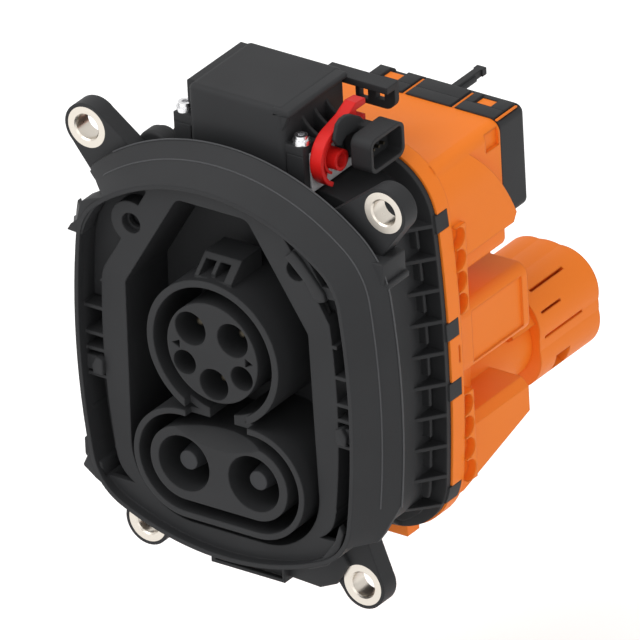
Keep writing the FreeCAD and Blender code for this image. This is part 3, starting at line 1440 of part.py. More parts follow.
def rear_cap():
    """Black cap over the upper box's rear opening, with two windows, a seam and a finger."""
    along = FreeCAD.Vector(0, 1, 0)
    x0, x1, z0, z1 = cap_opening(0)
    cap = rounded_box(x0, x1, cap_y, cap_end_y, z0, z1, cap_corner, along)
    cap = cap.makeFillet(cap_edge_radius, [edge for edge in cap.Edges if edge.BoundBox.YMin > cap_end_y - 0.01])
    x0, x1, z0, z1 = cap_opening(cap_wall)
    cap = cap.cut(rounded_box(x0, x1, cap_y - 1, cap_end_y - cap_wall, z0, z1, cap_corner - cap_wall, along))
    for x in cap_window_x:
        cap = cap.cut(box(x - cap_window_width / 2, x + cap_window_width / 2, cap_window_y - cap_window_depth / 2,
                          cap_window_y + cap_window_depth / 2, upper_box_top_z - 2 * cap_wall, upper_box_top_z + 1))
    notch = box(cap_window_x[0] - cap_window_width / 2, cap_window_x[0] + cap_window_width / 2, cap_window_y,
                cap_end_y + 1, upper_box_top_z - cap_wall, upper_box_top_z + 1)
    seam = box(cap_seam_x, cap_seam_x + cap_seam_size, cap_y - 1, cap_end_y, upper_box_top_z - cap_seam_size,
               upper_box_top_z + 1)
    slot = box(cap_slot_x, cap_slot_x + cap_slot_width, cap_y + cap_wall, cap_end_y - cap_wall,
               upper_box_top_z - 2 * cap_wall, upper_box_top_z + 1)
    cap = cap.cut(notch.fuse([seam, slot]))
    rod_top = upper_box_top_z - rod_drop
    rod = box(rod_x - rod_width / 2, rod_x + rod_width / 2, cap_end_y - cap_wall, cap_end_y + rod_length,
              rod_top - rod_height, rod_top)
    head = box(rod_x - rod_head_width / 2, rod_x + rod_head_width / 2, cap_end_y + rod_length - rod_head_length,
               cap_end_y + rod_length, rod_top - rod_height, rod_top)
    foot = profile_along_x([(cap_end_y - cap_wall, rod_top), (cap_end_y + 3 * rod_height, rod_top - rod_height / 2),
                            (cap_end_y - cap_wall, rod_top - 3 * rod_height)],
                           rod_x - rod_width / 2, rod_x + rod_width / 2)
    return cap.fuse([rod, head, foot])


def cap_block(side, angle, y0, y1, width, inner, outer):
    """Block on a cable cap, at an angle round its axis."""
    x = side * outlet_x
    block = box(x + inner, x + outer, y0, y1, outlet_z - width / 2, outlet_z + width / 2)
    turn = angle if side > 0 else 180 - angle
    block.rotate(FreeCAD.Vector(x, 0, outlet_z), FreeCAD.Vector(0, -1, 0), turn)
    return block


def cable_cap(side):
    """Lobed cap on one DC outlet, with slits, a window and a snap arm."""
    back = outlet_y + cable_cap_length
    x = side * outlet_x
    lobes = [rod_along_y(x + sx * lobe_dx, outlet_z + sz * lobe_dz, lobe_radius, outlet_y, back)
             for sx in (-1, 1) for sz in (-1, 1)]
    middle = rod_along_y(x, outlet_z, cap_body_radius, outlet_y, back)
    arm = cap_block(side, cap_arm_angle, outlet_y - cap_arm_length, outlet_y + 1, cap_arm_width,
                    outlet_radius + bolt_gap, cap_body_radius)
    cap = middle.fuse(lobes + [arm]).removeSplitter()
    cap = cap.cut(rod_along_y(x, outlet_z, outlet_spigot_radius + fit_gap, outlet_y - 1, back - cable_cap_wall))
    cap = cap.cut(rod_along_y(x, outlet_z, cable_hole_radius, outlet_y - 1, back + 1))
    reach = cap_body_radius + lobe_dx
    cuts = [cap_block(side, angle, outlet_y + start, outlet_y + start + length, width,
                      cap_body_radius - slit_depth, reach) for angle, start, length, width in slit_marks]
    window = cap_block(side, cap_window_angle, outlet_y + cap_window_front,
                       outlet_y + cap_window_front + cap_window_length, cap_window_cut, cap_body_radius / 2, reach)
    return cap.cut(cuts[0].fuse(cuts[1:] + [window]))


def cable_rings(radius, y0, y1):
    """Ring in each cable cap."""
    rings = []
    for side in (-1, 1):
        x = side * outlet_x
        ring = rod_along_y(x, outlet_z, outlet_spigot_radius, y0, y1)
        rings.append(ring.cut(rod_along_y(x, outlet_z, radius, y0 - 1, y1 + 1)))
    return Part.makeCompound(rings)


def cable_seals():
    """Rubber ring in each cable cap."""
    front = outlet_y + outlet_spigot_length
    return cable_rings(cable_hole_radius - 0.6, front, front + cable_seal_length)


def cable_clamps():
    """Split clamp ring between each seal and the cap's end wall."""
    front = outlet_y + outlet_spigot_length + cable_seal_length
    return cable_rings(cable_hole_radius, front, outlet_y + cable_cap_length - cable_cap_wall)


nodes = {
    "front_frame": front_frame,
    "mounting_bushings": mounting_bushings,
    "socket_housing": socket_housing,
    "ac_contact_carrier": ac_contact_carrier,
    "dc_contact_carrier": dc_contact_carrier,
    "ac_power_contacts": ac_power_contacts,
    "ac_ground_contact": lambda: ac_pin(0, ground_z, ground_pin_radius),
    "ac_signal_contacts": ac_signal_contacts,
    "dc_contact_left": lambda: dc_contact(-1),
    "dc_contact_right": lambda: dc_contact(1),
    "dc_contact_tips": dc_contact_tips,
    "contact_retainer": contact_retainer,
    "sensor_board": sensor_board,
    "perimeter_seal": perimeter_seal,
    "breather_cap": breather_cap,
    "rear_housing": rear_housing,
    "rear_cap": rear_cap,
    "cable_cap_left": lambda: cable_cap(-1),
    "cable_cap_right": lambda: cable_cap(1),
    "cable_seals": cable_seals,
    "cable_clamps": cable_clamps,
    "lock_base": lock_base,
    "lock_cover": lock_cover,
    "lock_screws": lock_screws,
    "bolt_seal": bolt_seal,
    "lock_bolt": lock_bolt,
    "drive_gear": drive_gear,
    "drive_shaft": drive_shaft,
    "shaft_clip": shaft_clip,
    "lock_motor": lock_motor,
    "motor_shaft": motor_shaft,
    "motor_pinion": motor_pinion,
    "lever_plate": lever_plate,
    "release_lever": release_lever,
    "signal_connector": signal_connector,
    "signal_pins": signal_pins,
    "cable_guide": cable_guide,
}

os.makedirs("parts", exist_ok=True)
for name, make in nodes.items():
    shape = make()
    shape.exportStep("parts/" + name + ".step")
    print(name, len(shape.Solids), round(shape.Volume, 1), shape.isValid())
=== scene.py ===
import json
import math
import bmesh
import bpy
from mathutils import Matrix, Vector


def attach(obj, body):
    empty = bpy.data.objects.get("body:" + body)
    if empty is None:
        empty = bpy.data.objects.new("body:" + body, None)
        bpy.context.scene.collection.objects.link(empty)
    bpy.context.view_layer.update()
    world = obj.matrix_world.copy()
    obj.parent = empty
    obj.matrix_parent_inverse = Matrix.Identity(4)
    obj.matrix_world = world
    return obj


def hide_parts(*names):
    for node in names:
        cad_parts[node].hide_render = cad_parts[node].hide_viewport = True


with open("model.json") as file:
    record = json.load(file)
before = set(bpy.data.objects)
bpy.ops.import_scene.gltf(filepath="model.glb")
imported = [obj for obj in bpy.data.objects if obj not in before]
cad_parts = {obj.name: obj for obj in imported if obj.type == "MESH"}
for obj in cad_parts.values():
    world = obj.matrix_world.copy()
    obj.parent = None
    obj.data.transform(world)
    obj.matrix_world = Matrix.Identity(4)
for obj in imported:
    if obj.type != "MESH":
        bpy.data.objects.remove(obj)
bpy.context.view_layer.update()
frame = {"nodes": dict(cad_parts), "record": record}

# Lengths in mm are turned to metres with this
mm = 0.001

# Moulded plastics and rubber, by material slot, and a lighter black whose colour paints the highlights on
# the collar's edges: pits is how fine the grain is, grain how strong, and tint the share of the colour left
# in the darker patches
plastics = {
    "black_plastic": dict(colour=(0.0255, 0.026, 0.0275), roughness=0.58, pits=2600, grain=0.22, tint=0.85),
    "black_plastic_painted_highlight": dict(colour=(0.075, 0.076, 0.08), roughness=0.4, pits=2600, grain=0.2, tint=0.95),
    "orange_plastic": dict(colour=(0.9, 0.212, 0.016), roughness=0.5, pits=2200, grain=0.18, tint=0.95),
    "red_plastic": dict(colour=(0.66, 0.013, 0.011), roughness=0.42, pits=2200, grain=0.15, tint=0.9),
    "grey_plastic": dict(colour=(0.60, 0.60, 0.61), roughness=0.35, pits=2200, grain=0.1, tint=0.95),
    "tip_plastic": dict(colour=(0.035, 0.036, 0.039), roughness=0.5, pits=2200, grain=0.2, tint=0.9),
    "gear_plastic": dict(colour=(0.7, 0.68, 0.62), roughness=0.4, pits=2200, grain=0.1, tint=0.95),
    "board_green": dict(colour=(0.02, 0.14, 0.05), roughness=0.3, pits=800, grain=0.1, tint=0.8),
    "seal_rubber": dict(colour=(0.015, 0.015, 0.015), roughness=0.6, pits=1500, grain=0.2, tint=0.9),
}
edge_radius = 0.8 * mm
edge_samples = 4
plastic_specular = 0.2
grain_detail = 3.0
grain_depth = 0.2 * mm
cloud_scale = 45.0
plastic_gloss_spread = 0.1

# Turned and plated metals, by material slot
metals = {
    "bushing_metal": dict(colour=(0.66, 0.61, 0.54), roughness=0.3),
    "steel": dict(colour=(0.74, 0.74, 0.75), roughness=0.24),
    # contact_metal is far darker than plated metal: its colour paints the shade on the contacts deep in
    # their holes
    "contact_metal": dict(colour=(0.075, 0.065, 0.048), roughness=0.5),
}
streak_scale = 900.0
metal_gloss_spread = 0.2

# Recesses between the front frame's flat band and its rim: outlines of (x, z) points and depths, in mm
rim_inside = [(-51.0, 3.4), (-50.6, 10.0), (-50.0, 18.0), (-49.2, 25.9), (-47.9, 32.2), (-44.7, 37.9),
              (-42.3, 40.3), (-38.1, 43.5), (-32.0, 47.2), (-25.0, 50.5)]
rim_inside_side_points = 6
left_band_edge = [(-25.0, 48.1), (-28.6, 42.1), (-36.5, 27.5), (-42.5, 17.8), (-44.6, 11.8), (-44.6, 3.4)]
left_floor_edge = [(-25.0, 46.0), (-28.0, 40.0), (-36.0, 26.5), (-43.8, 11.8), (-43.8, 3.0)]
right_floor_edge = [(40.0, 33.0), (37.0, 28.0), (44.0, 12.0), (44.0, 3.0)]
right_recess = [(38.1, 29.0), (45.4, 15.7), (45.4, 3.4), (51.0, 3.4), (50.6, 10.0), (50.0, 18.0),
                (49.2, 25.9), (48.6, 29.4)]
strap_recess = [(34.6, 43.4), (40.9, 40.6), (45.4, 36.0), (46.6, 33.6), (40.9, 32.9)]
corner_recess = [(26.3, 47.6), (32.0, 44.6), (29.8, 42.4)]
recess_front = 2.0
recess_back = 9.6
recess_floor_front = 8.7
recess_floor_back = 10.2

# Round boss in the left recess and the step in its bore, in mm
boss_x = -31.2
boss_z = 35.9
boss_radius = 7.6
boss_front = 1.0
boss_back = 13.0
boss_step_outer = 3.7
boss_step_bore = 2.6
boss_step_front = 6.0
boss_step_back = 8.0
cutter_overlap = 1.0

# Long slots low on both sides and the snap ramps above them, given for the right side, in mm
slot_cut = [(44.1, -24.3), (42.8, -40.0), (41.7, -49.0), (40.5, -56.9), (46.8, -56.9), (48.1, -49.0),
            (49.3, -40.0), (50.6, -24.3)]
slot_cut_back = 11.2
slot_floor = [(43.7, -23.9), (42.4, -40.0), (41.3, -49.0), (40.0, -57.5), (47.4, -57.5), (48.6, -49.0),
              (49.8, -40.0), (51.0, -23.9)]
slot_floor_front = 10.8
slot_floor_back = 12.2
snap_ramp = [(44.2, -20.9), (44.2, -15.6), (46.6, -14.8), (48.4, -17.8), (48.0, -20.9)]
snap_ramp_front = 1.7
snap_ramp_back = 6.0

# Drain spout: its framed recess and the plate behind, as left, right, low and high, then front and back
spout_recess = (-12.4, 13.1, -82.2, -77.4)
spout_recess_front = 11.0
spout_recess_back = 15.0
spout_floor = (-12.8, 13.5, -82.6, -77.0)
spout_floor_front = 14.6
spout_floor_back = 15.6

# What the collar's lip loses at its lower right, in mm
lip_corner = [(60.5, -42.0), (59.3, -45.0), (55.3, -53.3), (51.8, -58.8), (47.6, -62.3), (48.0, -70.0),
              (70.0, -70.0), (70.0, -42.0)]
lip_corner_front = 6.0
lip_corner_back = 16.2

# Black trim of the front and the lock cover: outline, front, back and rounding of the edges, in mm
front_trim = {
    "boss_strap": ([(27.9, 40.6), (31.0, 43.4), (34.0, 40.9), (42.2, 31.3), (43.0, 28.6), (40.4, 27.4),
                    (38.2, 28.4), (35.4, 33.3)], 1.9, 4.6, 0.8),
    "lower_skirt": ([(13.0, -68.0), (13.6, -82.2), (25.8, -82.9), (32.3, -79.9), (37.0, -72.0),
                     (33.0, -66.0)], 14.8, 19.0, 0.6),
    "lip_end_upper": ([(-53.9, 29.0), (-52.5, 31.3), (-50.0, 33.5), (-48.2, 40.2), (-45.3, 41.9),
                       (-37.8, 44.6), (-35.1, 46.1), (-40.2, 42.4), (-43.4, 38.6), (-46.7, 33.0),
                       (-48.4, 28.6)], 0.4, 7.0, 0.6),
    "lip_end_lower": ([(-53.9, -54.9), (-51.3, -49.6), (-46.5, -52.5), (-45.5, -60.5), (-49.1, -58.5)],
                      1.5, 11.0, 0.6),
    "lip_end_right": ([(31.3, -66.1), (37.3, -62.7), (42.6, -55.2), (44.5, -49.4), (46.0, -51.9),
                       (44.4, -57.4), (39.0, -64.9), (32.0, -68.0)], 0.9, 3.6, 0.4),
    "collar_clip": ([(50.0, 33.6), (58.4, 33.6), (58.4, 41.4), (50.0, 41.4)], 11.5, 24.0, 0.5),
    "collar_clip_ledge": ([(54.0, 32.4), (59.6, 32.4), (59.6, 34.4), (54.0, 34.4)], 12.5, 24.0, 0.4),
    "hood_roof_edge": ([(14.0, 78.6), (14.0, 81.4), (20.2, 81.4), (20.8, 80.8), (20.8, 79.6)],
                       18.5, 50.0, 0.6),
    "hood_roof_web": ([(14.0, 70.5), (14.0, 80.5), (20.2, 80.5), (17.5, 74.0)], 18.9, 21.0, 0.4),
}
ramp_rounding = 0.5

# Beads on the collar's edges, in a lighter black that paints their highlights: depth of the edge and the
# least distance from the rim's middle, in mm
collar_beads = {"collar_crease_bead": (8.0, 50), "collar_lip_bead": (13.0, 52)}
bead_radius = 0.28
rim_middle_z = -8
edge_tolerance = 0.06
edge_drop = 1.1
nearby_turns = (-2, -1, 0, 1, 2)
longest_step = 12
fewest_points = 4
notch_x = -46
notch_z = 18
trimmed_x = 46
trimmed_z = -45

# Pocket in the rear housing's upper side wall: left, right, low and high, then front and back
side_pocket = (46.7, 49.5, 44.6, 50.6)
side_pocket_front = 83.2
side_pocket_back = 90.2

# Rear cap, in mm: tabs as left, right and the window's middle, the gaps between them and the rod's sleeve
cap_tabs = ((-5.0, 11.0, 2.4), (12.7, 29.4, None), (31.4, 46.0, 37.6))
tab_front = 90.9
tab_window_front = 96.2
tab_back = 102.6
tab_half_height = 0.6
tab_rounding = 0.15
window_half = 3.2
gap_middles = (11.85, 30.4, 46.8)
gap_half = 0.4
gap_sink = 0.4
gap_rise = 0.12
gap_back = 102.0
gap_rounding = 0.08
cap_front_part = 95
rod_from = 108
rod_to = 117.5
sleeve_side = 0.7
sleeve_under = 0.3
sleeve_over = 0.5
sleeve_front = 103.5
sleeve_back = 116.5
sleeve_rounding = 0.5

# Shading, seams and roundness of the meshes
smooth_angle = math.radians(32)
merge_distance = 0.002 * mm
rounding_segments = 3
rod_sides = 48

# Studio, in metres and watts: place, size and power of each lamp
lamps = {
    "key_lamp": ((-0.6, -0.9, 1.7), 1.8, 22),
    "right_lamp": ((1.7, -0.2, 0.9), 1.0, 3.5),
    "front_lamp": ((0.9, -1.7, 0.7), 1.4, 6.0),
}
lamp_target = Vector((0, 0.05, 0))
floor_size = 60
floor_z = -0.16
floor_tone = (0.9, 0.9, 0.9, 1)
floor_glow = 0.36
room_light = 0.66
room_white = 1.0
white_tone = (1, 1, 1, 1)

# Long lens camera, about 9 m away and rolled three degrees
camera_right = Vector((0.81817, 0.57303, -0.04587)).normalized()
camera_back = Vector((0.5228, -0.70848, 0.47439)).normalized()
camera_aim = Vector((0.0248, 0.0234, 0.0076))
camera_lens = 1600
camera_sensor = 36
camera_far = 100
picture_width = 0.1983


def new_material(name):
    """Empty node material with a Principled shader."""
    material = bpy.data.materials.new(name)
    material.use_nodes = True
    return material, material.node_tree.nodes, material.node_tree.links


def object_noise(nodes, links, scale):
    """Noise that sits in the object's own coordinates."""
    place = nodes.new("ShaderNodeTexCoord")
    noise = nodes.new("ShaderNodeTexNoise")
    noise.inputs["Scale"].default_value = scale
    links.new(place.outputs["Object"], noise.inputs["Vector"])
    return noise


def vary_gloss(nodes, links, noise, roughness, spread):
    """Roughness that follows a noise, a share below and above its middle value."""
    gloss = nodes.new("ShaderNodeMapRange")
    gloss.inputs["To Min"].default_value = roughness * (1 - spread)
    gloss.inputs["To Max"].default_value = roughness * (1 + spread)
    links.new(noise.outputs["Fac"], gloss.inputs["Value"])
    links.new(gloss.outputs["Result"], nodes["Principled BSDF"].inputs["Roughness"])


def moulded_plastic(name, colour, roughness, pits, grain, tint):
    """Moulded plastic: fine spark-eroded grain, softened edges and slight differences in tone and gloss."""
    material, nodes, links = new_material(name)
    shader = nodes["Principled BSDF"]
    shader.inputs["Specular IOR Level"].default_value = plastic_specular
    soft_edge = nodes.new("ShaderNodeBevel")
    soft_edge.samples = edge_samples
    soft_edge.inputs["Radius"].default_value = edge_radius
    pitting = object_noise(nodes, links, pits)
    pitting.inputs["Detail"].default_value = grain_detail
    bump = nodes.new("ShaderNodeBump")
    bump.inputs["Strength"].default_value = grain
    bump.inputs["Distance"].default_value = grain_depth
    links.new(pitting.outputs["Fac"], bump.inputs["Height"])
    links.new(soft_edge.outputs["Normal"], bump.inputs["Normal"])
    links.new(bump.outputs["Normal"], shader.inputs["Normal"])
    cloud = object_noise(nodes, links, cloud_scale)
    blend = nodes.new("ShaderNodeMix")
    blend.data_type = "RGBA"
    blend.inputs["A"].default_value = (*colour, 1.0)
    blend.inputs["B"].default_value = (*[share * tint for share in colour], 1.0)
    links.new(cloud.outputs["Fac"], blend.inputs["Factor"])
    links.new(blend.outputs["Result"], shader.inputs["Base Color"])
    vary_gloss(nodes, links, cloud, roughness, plastic_gloss_spread)
    return material


def plated_metal(name, colour, roughness):
    """Turned and plated metal with faint differences in gloss."""
    material, nodes, links = new_material(name)
    shader = nodes["Principled BSDF"]
    shader.inputs["Metallic"].default_value = 1.0
    shader.inputs["Base Color"].default_value = (*colour, 1.0)
    streak = object_noise(nodes, links, streak_scale)
    vary_gloss(nodes, links, streak, roughness, metal_gloss_spread)
    return material


def finish_cad_nodes():
    """Gives each CAD node the finish of its slot."""
    for part in frame["record"]["subparts"]:
        shown = frame["nodes"][part["node"]]
        shown.data.materials.clear()
        shown.data.materials.append(finishes[part["material_slot"]])


def seen_ray(nodes, links):
    """Value that is 1 for rays from the camera, a mirror surface or clear material."""
    path = nodes.new("ShaderNodeLightPath")
    glossy = nodes.new("ShaderNodeMath")
    glossy.operation = "MAXIMUM"
    links.new(path.outputs["Is Camera Ray"], glossy.inputs[0])
    links.new(path.outputs["Is Glossy Ray"], glossy.inputs[1])
    clear = nodes.new("ShaderNodeMath")
    clear.operation = "MAXIMUM"
    links.new(glossy.outputs[0], clear.inputs[0])
    links.new(path.outputs["Is Transmission Ray"], clear.inputs[1])
    return clear.outputs[0]


def add_floor():
    """Plain white floor well below the part, which keeps the part's shadow."""
    bpy.ops.mesh.primitive_plane_add(size=floor_size, location=(0, 0, floor_z))
    floor = bpy.context.object
    floor.name = "floor"
    material, nodes, links = new_material("floor_white")
    shader = nodes["Principled BSDF"]
    shader.inputs["Base Color"].default_value = floor_tone
    shader.inputs["Roughness"].default_value = 1.0
    shader.inputs["Specular IOR Level"].default_value = 0.0
    shader.inputs["Emission Color"].default_value = white_tone
    share = nodes.new("ShaderNodeMath")
    share.operation = "MULTIPLY"
    share.inputs[1].default_value = floor_glow
    links.new(seen_ray(nodes, links), share.inputs[0])
    links.new(share.outputs[0], shader.inputs["Emission Strength"])
    floor.data.materials.append(material)


def add_lamp(name, place, size, power):
    """Soft square studio lamp, turned to the part."""
    light = bpy.data.lights.new(name, "AREA")
    light.size = size
    light.energy = power
    lamp = bpy.data.objects.new(name, light)
    lamp.location = place
    lamp.rotation_euler = (lamp_target - Vector(place)).to_track_quat("-Z", "Y").to_euler()
    bpy.context.scene.collection.objects.link(lamp)


def light_studio():
    """White surroundings and soft lamps."""
    world = bpy.data.worlds.new("studio")
    bpy.context.scene.world = world
    world.use_nodes = True
    nodes, links = world.node_tree.nodes, world.node_tree.links
    white = nodes["Background"]
    white.inputs["Color"].default_value = white_tone
    level = nodes.new("ShaderNodeMapRange")
    level.inputs["To Min"].default_value = room_light
    level.inputs["To Max"].default_value = room_white
    links.new(seen_ray(nodes, links), level.inputs["Value"])
    links.new(level.outputs["Result"], white.inputs["Strength"])
    for name, (place, size, power) in lamps.items():
        add_lamp(name, place, size, power)


def add_camera():
    """Camera that looks at the part's front from its right and above."""
    data = bpy.data.cameras.new("camera")
    data.lens = camera_lens
    data.sensor_width = camera_sensor
    data.clip_end = camera_far
    camera = bpy.data.objects.new("camera", data)
    distance = picture_width * camera_lens / camera_sensor
    turn = Matrix((camera_right, camera_back.cross(camera_right), camera_back)).transposed().to_4x4()
    camera.matrix_world = Matrix.Translation(camera_aim + camera_back * distance) @ turn
    bpy.context.scene.collection.objects.link(camera)
    bpy.context.scene.camera = camera


def select_only(piece):
    """Makes one object the selected and active one."""
    bpy.ops.object.select_all(action="DESELECT")
    piece.select_set(True)
    bpy.context.view_layer.objects.active = piece


def flat_outline(name, outline, depth):
    """Filled circle whose corners are moved to an outline of (x, z) points, all in mm."""
    bpy.ops.object.select_all(action="DESELECT")
    bpy.ops.mesh.primitive_circle_add(vertices=len(outline), radius=mm, fill_type="NGON", calc_uvs=False,
                                      location=(0, depth * mm, 0), rotation=(math.pi / 2, 0, 0))
    bpy.ops.object.transform_apply(location=True, rotation=True, scale=True)
    piece = bpy.context.object
    piece.name = name
    piece.data.name = name
    bpy.ops.object.mode_set(mode="EDIT")
    bpy.ops.mesh.select_mode(type="VERT")
    for number, (x, z) in enumerate(outline):
        bpy.ops.mesh.select_all(action="DESELECT")
        shape = bmesh.from_edit_mesh(piece.data)
        shape.verts.ensure_lookup_table()
        corner = shape.verts[number]
        corner.select_set(True)
        bpy.ops.transform.translate(value=Vector((x * mm, depth * mm, z * mm)) - corner.co)
    bpy.ops.object.mode_set(mode="OBJECT")
    return piece


def plate(name, outline, front, back):
    """Plate from an outline of (x, z) points between two depths, all in mm."""
    piece = flat_outline(name, outline, front)
    select_only(piece)
    bpy.ops.object.mode_set(mode="EDIT")
    bpy.ops.mesh.select_all(action="SELECT")
    bpy.ops.mesh.extrude_region_move(TRANSFORM_OT_translate={"value": (0, (back - front) * mm, 0)})
    bpy.ops.mesh.select_all(action="SELECT")
    bpy.ops.mesh.normals_make_consistent(inside=False)
    bpy.ops.object.mode_set(mode="OBJECT")
    return piece


def box_outline(left, right, low, high):
    """Corners of a rectangle, in (x, z) points."""
    return [(left, low), (right, low), (right, high), (left, high)]


def flipped(outline):
    """Outline on the other side of the middle plane."""
    return [(-x, z) for x, z in outline]


def disc(name, x, z, radius, front, back):
    """Round rod along Y between two depths, all in mm."""
    turns = [2 * math.pi * side / rod_sides for side in range(rod_sides)]
    outline = [(x + radius * math.cos(turn), z + radius * math.sin(turn)) for turn in turns]
    return plate(name, outline, front, back)


def copied(node, name):
    """Copy of a CAD node's mesh that can be carved."""
    piece = bpy.data.objects.new(name, frame["nodes"][node].data.copy())
    bpy.context.scene.collection.objects.link(piece)
    select_only(piece)
    bpy.ops.object.mode_set(mode="EDIT")
    bpy.ops.mesh.select_all(action="SELECT")
    bpy.ops.mesh.customdata_custom_splitnormals_clear()
    bpy.ops.mesh.remove_doubles(threshold=merge_distance)
    bpy.ops.object.mode_set(mode="OBJECT")
    return piece


def carve(piece, cutters):
    """Cuts other objects away from a piece and removes them."""
    for cutter in cutters:
        select_only(piece)
        cut = piece.modifiers.new("cut", "BOOLEAN")
        cut.operation = "DIFFERENCE"
        cut.solver = "EXACT"
        cut.object = cutter
        bpy.ops.object.modifier_apply(modifier=cut.name)
        bpy.data.objects.remove(cutter)
    return piece


def soften(piece, width):
    """Rounds a new piece's edges, width in mm."""
    select_only(piece)
    round_off = piece.modifiers.new("round_off", "BEVEL")
    round_off.width = width * mm
    round_off.segments = rounding_segments
    round_off.limit_method = "ANGLE"
    bpy.ops.object.modifier_apply(modifier=round_off.name)
    return piece


def settle(piece, slot, finish=None):
    """Finish, smooth shading and body of a piece."""
    select_only(piece)
    bpy.ops.object.shade_smooth_by_angle(angle=smooth_angle)
    piece.data.materials.clear()
    piece.data.materials.append(finishes[finish or slot])
    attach(piece, "housing")


def outer_points(depth, reach):
    """Front frame's farthest vertex at one depth in each degree, as (distance, x, y, z) in mm."""
    outer = {}
    for vertex in frame["nodes"]["front_frame"].data.vertices:
        x, y, z = [value / mm for value in vertex.co]
        far = math.hypot(x, z - rim_middle_z)
        turn = round(math.degrees(math.atan2(z - rim_middle_z, x)))
        in_notch = x < notch_x and z > notch_z
        trimmed = x > trimmed_x and z < trimmed_z
        on_edge = abs(y - depth) < edge_tolerance and far > reach
        if on_edge and not in_notch and not trimmed and far > outer.get(turn, (0,))[0]:
            outer[turn] = (far, x, y, z)
    return outer


def edge_runs(depth, reach):
    """Unbroken stretches of the front frame's outermost edge at one depth, as lists of points in mm."""
    outer = outer_points(depth, reach)
    runs = [[]]
    for turn in sorted(outer):
        crest = max(outer.get(turn + step, (0,))[0] for step in nearby_turns)
        if outer[turn][0] <= crest - edge_drop:
            continue
        point = outer[turn][1:]
        if runs[-1] and math.dist(point, runs[-1][-1]) > longest_step:
            runs.append([])
        runs[-1].append(point)
    return [run for run in runs if len(run) >= fewest_points]


def edge_bead(name, depth, reach):
    """Thin round bead along the outermost edge of the front frame at one depth."""
    curve = bpy.data.curves.new(name, "CURVE")
    curve.dimensions = "3D"
    curve.bevel_depth = bead_radius * mm
    curve.use_fill_caps = True
    for run in edge_runs(depth, reach):
        spline = curve.splines.new("POLY")
        spline.points.add(len(run) - 1)
        for spot, (x, y, z) in zip(spline.points, run):
            spot.co = (x * mm, y * mm, z * mm, 1)
    piece = bpy.data.objects.new(name, curve)
    bpy.context.scene.collection.objects.link(piece)
    select_only(piece)
    bpy.ops.object.convert(target="MESH")
    return bpy.context.view_layer.objects.active


def recess_cutters():
    """What is cut from the front frame between its flat band and its rim."""
    left = plate("left_recess", rim_inside + left_band_edge, recess_front, recess_back)
    boss = disc("left_boss", boss_x, boss_z, boss_radius, boss_front, boss_back)
    cutters = [carve(left, [boss])]
    outlines = {"right_recess": right_recess, "strap_recess": strap_recess, "corner_recess": corner_recess}
    for name, outline in outlines.items():
        cutters.append(plate(name, outline, recess_front, recess_back))
    return cutters


def carve_front():
    """Front frame with deep recesses, open slots, the spout's framed recess and the lip's trimmed corner."""
    front = copied("front_frame", "front_frame_carved")
    cutters = recess_cutters()
    cutters.append(plate("spout_recess", box_outline(*spout_recess), spout_recess_front, spout_recess_back))
    cutters.append(plate("lip_corner", lip_corner, lip_corner_front, lip_corner_back))
    cutters.append(plate("slot_cut_left", flipped(slot_cut), recess_front, slot_cut_back))
    cutters.append(plate("slot_cut_right", slot_cut, recess_front, slot_cut_back))
    settle(carve(front, cutters), "black_plastic")
    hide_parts("front_frame")


def add_floors():
    """Floors behind the recesses, the slots and the spout."""
    left = rim_inside + left_floor_edge
    right = flipped(rim_inside)[:rim_inside_side_points] + right_floor_edge
    for name, outline in (("left", left), ("right", right)):
        floor = plate("recess_floor_" + name, outline, recess_floor_front, recess_floor_back)
        settle(floor, "black_plastic")
    for name, outline in (("left", flipped(slot_floor)), ("right", slot_floor)):
        settle(plate("slot_floor_" + name, outline, slot_floor_front, slot_floor_back), "black_plastic")
    back = plate("spout_back", box_outline(*spout_floor), spout_floor_front, spout_floor_back)
    settle(back, "black_plastic")


def add_trim():
    """Snap ramps, the step in the left boss and the black trim."""
    for name, outline in (("left", flipped(snap_ramp)), ("right", snap_ramp)):
        ramp = plate("snap_ramp_" + name, outline, snap_ramp_front, snap_ramp_back)
        settle(soften(ramp, ramp_rounding), "black_plastic")
    step = disc("boss_step_left", boss_x, boss_z, boss_step_outer, boss_step_front, boss_step_back)
    bore = disc("bore", boss_x, boss_z, boss_step_bore, boss_step_front - cutter_overlap,
                boss_step_back + cutter_overlap)
    settle(carve(step, [bore]), "black_plastic")
    for name, (outline, front, back, rounding) in front_trim.items():
        settle(soften(plate(name, outline, front, back), rounding), "black_plastic")


def add_beads():
    """Beads on the collar's crease and lip, whose lighter black paints the highlights of these edges."""
    for name, (depth, reach) in collar_beads.items():
        settle(edge_bead(name, depth, reach), "black_plastic", "black_plastic_painted_highlight")


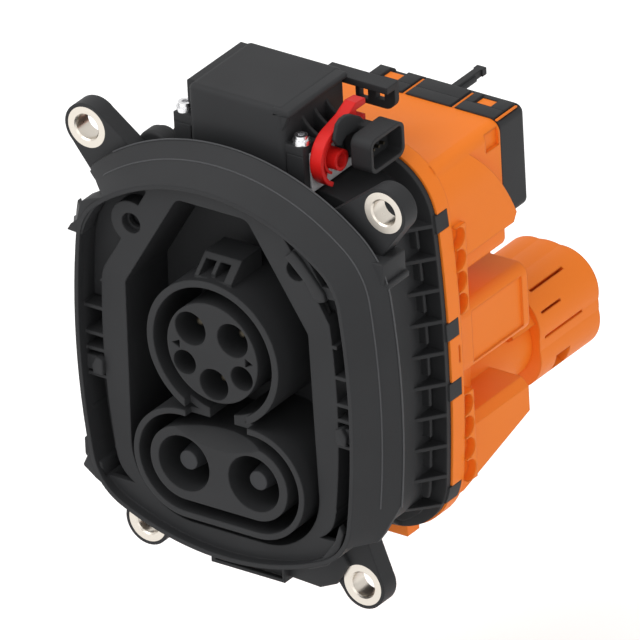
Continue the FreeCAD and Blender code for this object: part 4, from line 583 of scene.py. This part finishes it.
def carve_housing():
    """Rear housing with the small pocket in its upper side wall."""
    housing = copied("rear_housing", "rear_housing_carved")
    pocket = plate("side_pocket", box_outline(*side_pocket), side_pocket_front, side_pocket_back)
    settle(carve(housing, [pocket]), "orange_plastic")
    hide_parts("rear_housing")


def tab_spans(left, right, window):
    """Rectangles of one tab as (left, right, front, back): a front strip and what is beside its window."""
    spans = [(left, right, tab_front, tab_window_front)]
    if window is None:
        return spans + [(left, right, tab_window_front, tab_back)]
    return spans + [(left, window - window_half, tab_window_front, tab_back),
                    (window + window_half, right, tab_window_front, tab_back)]


def cap_points():
    """Vertices of the rear cap, in mm."""
    return [vertex.co / mm for vertex in frame["nodes"]["rear_cap"].data.vertices]


def add_cap_tabs():
    """Raised tabs on the rear cap's top with orange gaps between them."""
    top = max(point.z for point in cap_points() if point.y < cap_front_part)
    for number, tab in enumerate(cap_tabs):
        for part, (left, right, front, back) in enumerate(tab_spans(*tab)):
            outline = box_outline(left, right, top - tab_half_height, top + tab_half_height)
            piece = plate("cap_tab_%d_%d" % (number, part), outline, front, back)
            settle(soften(piece, tab_rounding), "black_plastic")
    for number, middle in enumerate(gap_middles):
        outline = box_outline(middle - gap_half, middle + gap_half, top - gap_sink, top + gap_rise)
        piece = plate("cap_gap_%d" % number, outline, tab_front, gap_back)
        settle(soften(piece, gap_rounding), "orange_plastic")


def add_rod_sleeve():
    """Sleeve that thickens the rod of the rear cap."""
    rod = [point for point in cap_points() if rod_from < point.y < rod_to]
    left = min(point.x for point in rod) - sleeve_side
    right = max(point.x for point in rod) + sleeve_side
    low = min(point.z for point in rod) - sleeve_under
    high = max(point.z for point in rod) + sleeve_over
    sleeve = plate("rod_sleeve", box_outline(left, right, low, high), sleeve_front, sleeve_back)
    settle(soften(sleeve, sleeve_rounding), "black_plastic")


finishes = {name: moulded_plastic(name, **values) for name, values in plastics.items()}
finishes.update({name: plated_metal(name, **values) for name, values in metals.items()})
finish_cad_nodes()
add_floor()
light_studio()
add_camera()
carve_front()
add_floors()
add_trim()
add_beads()
carve_housing()
add_cap_tabs()
add_rod_sleeve()
bpy.context.scene.view_settings.view_transform = "Standard"
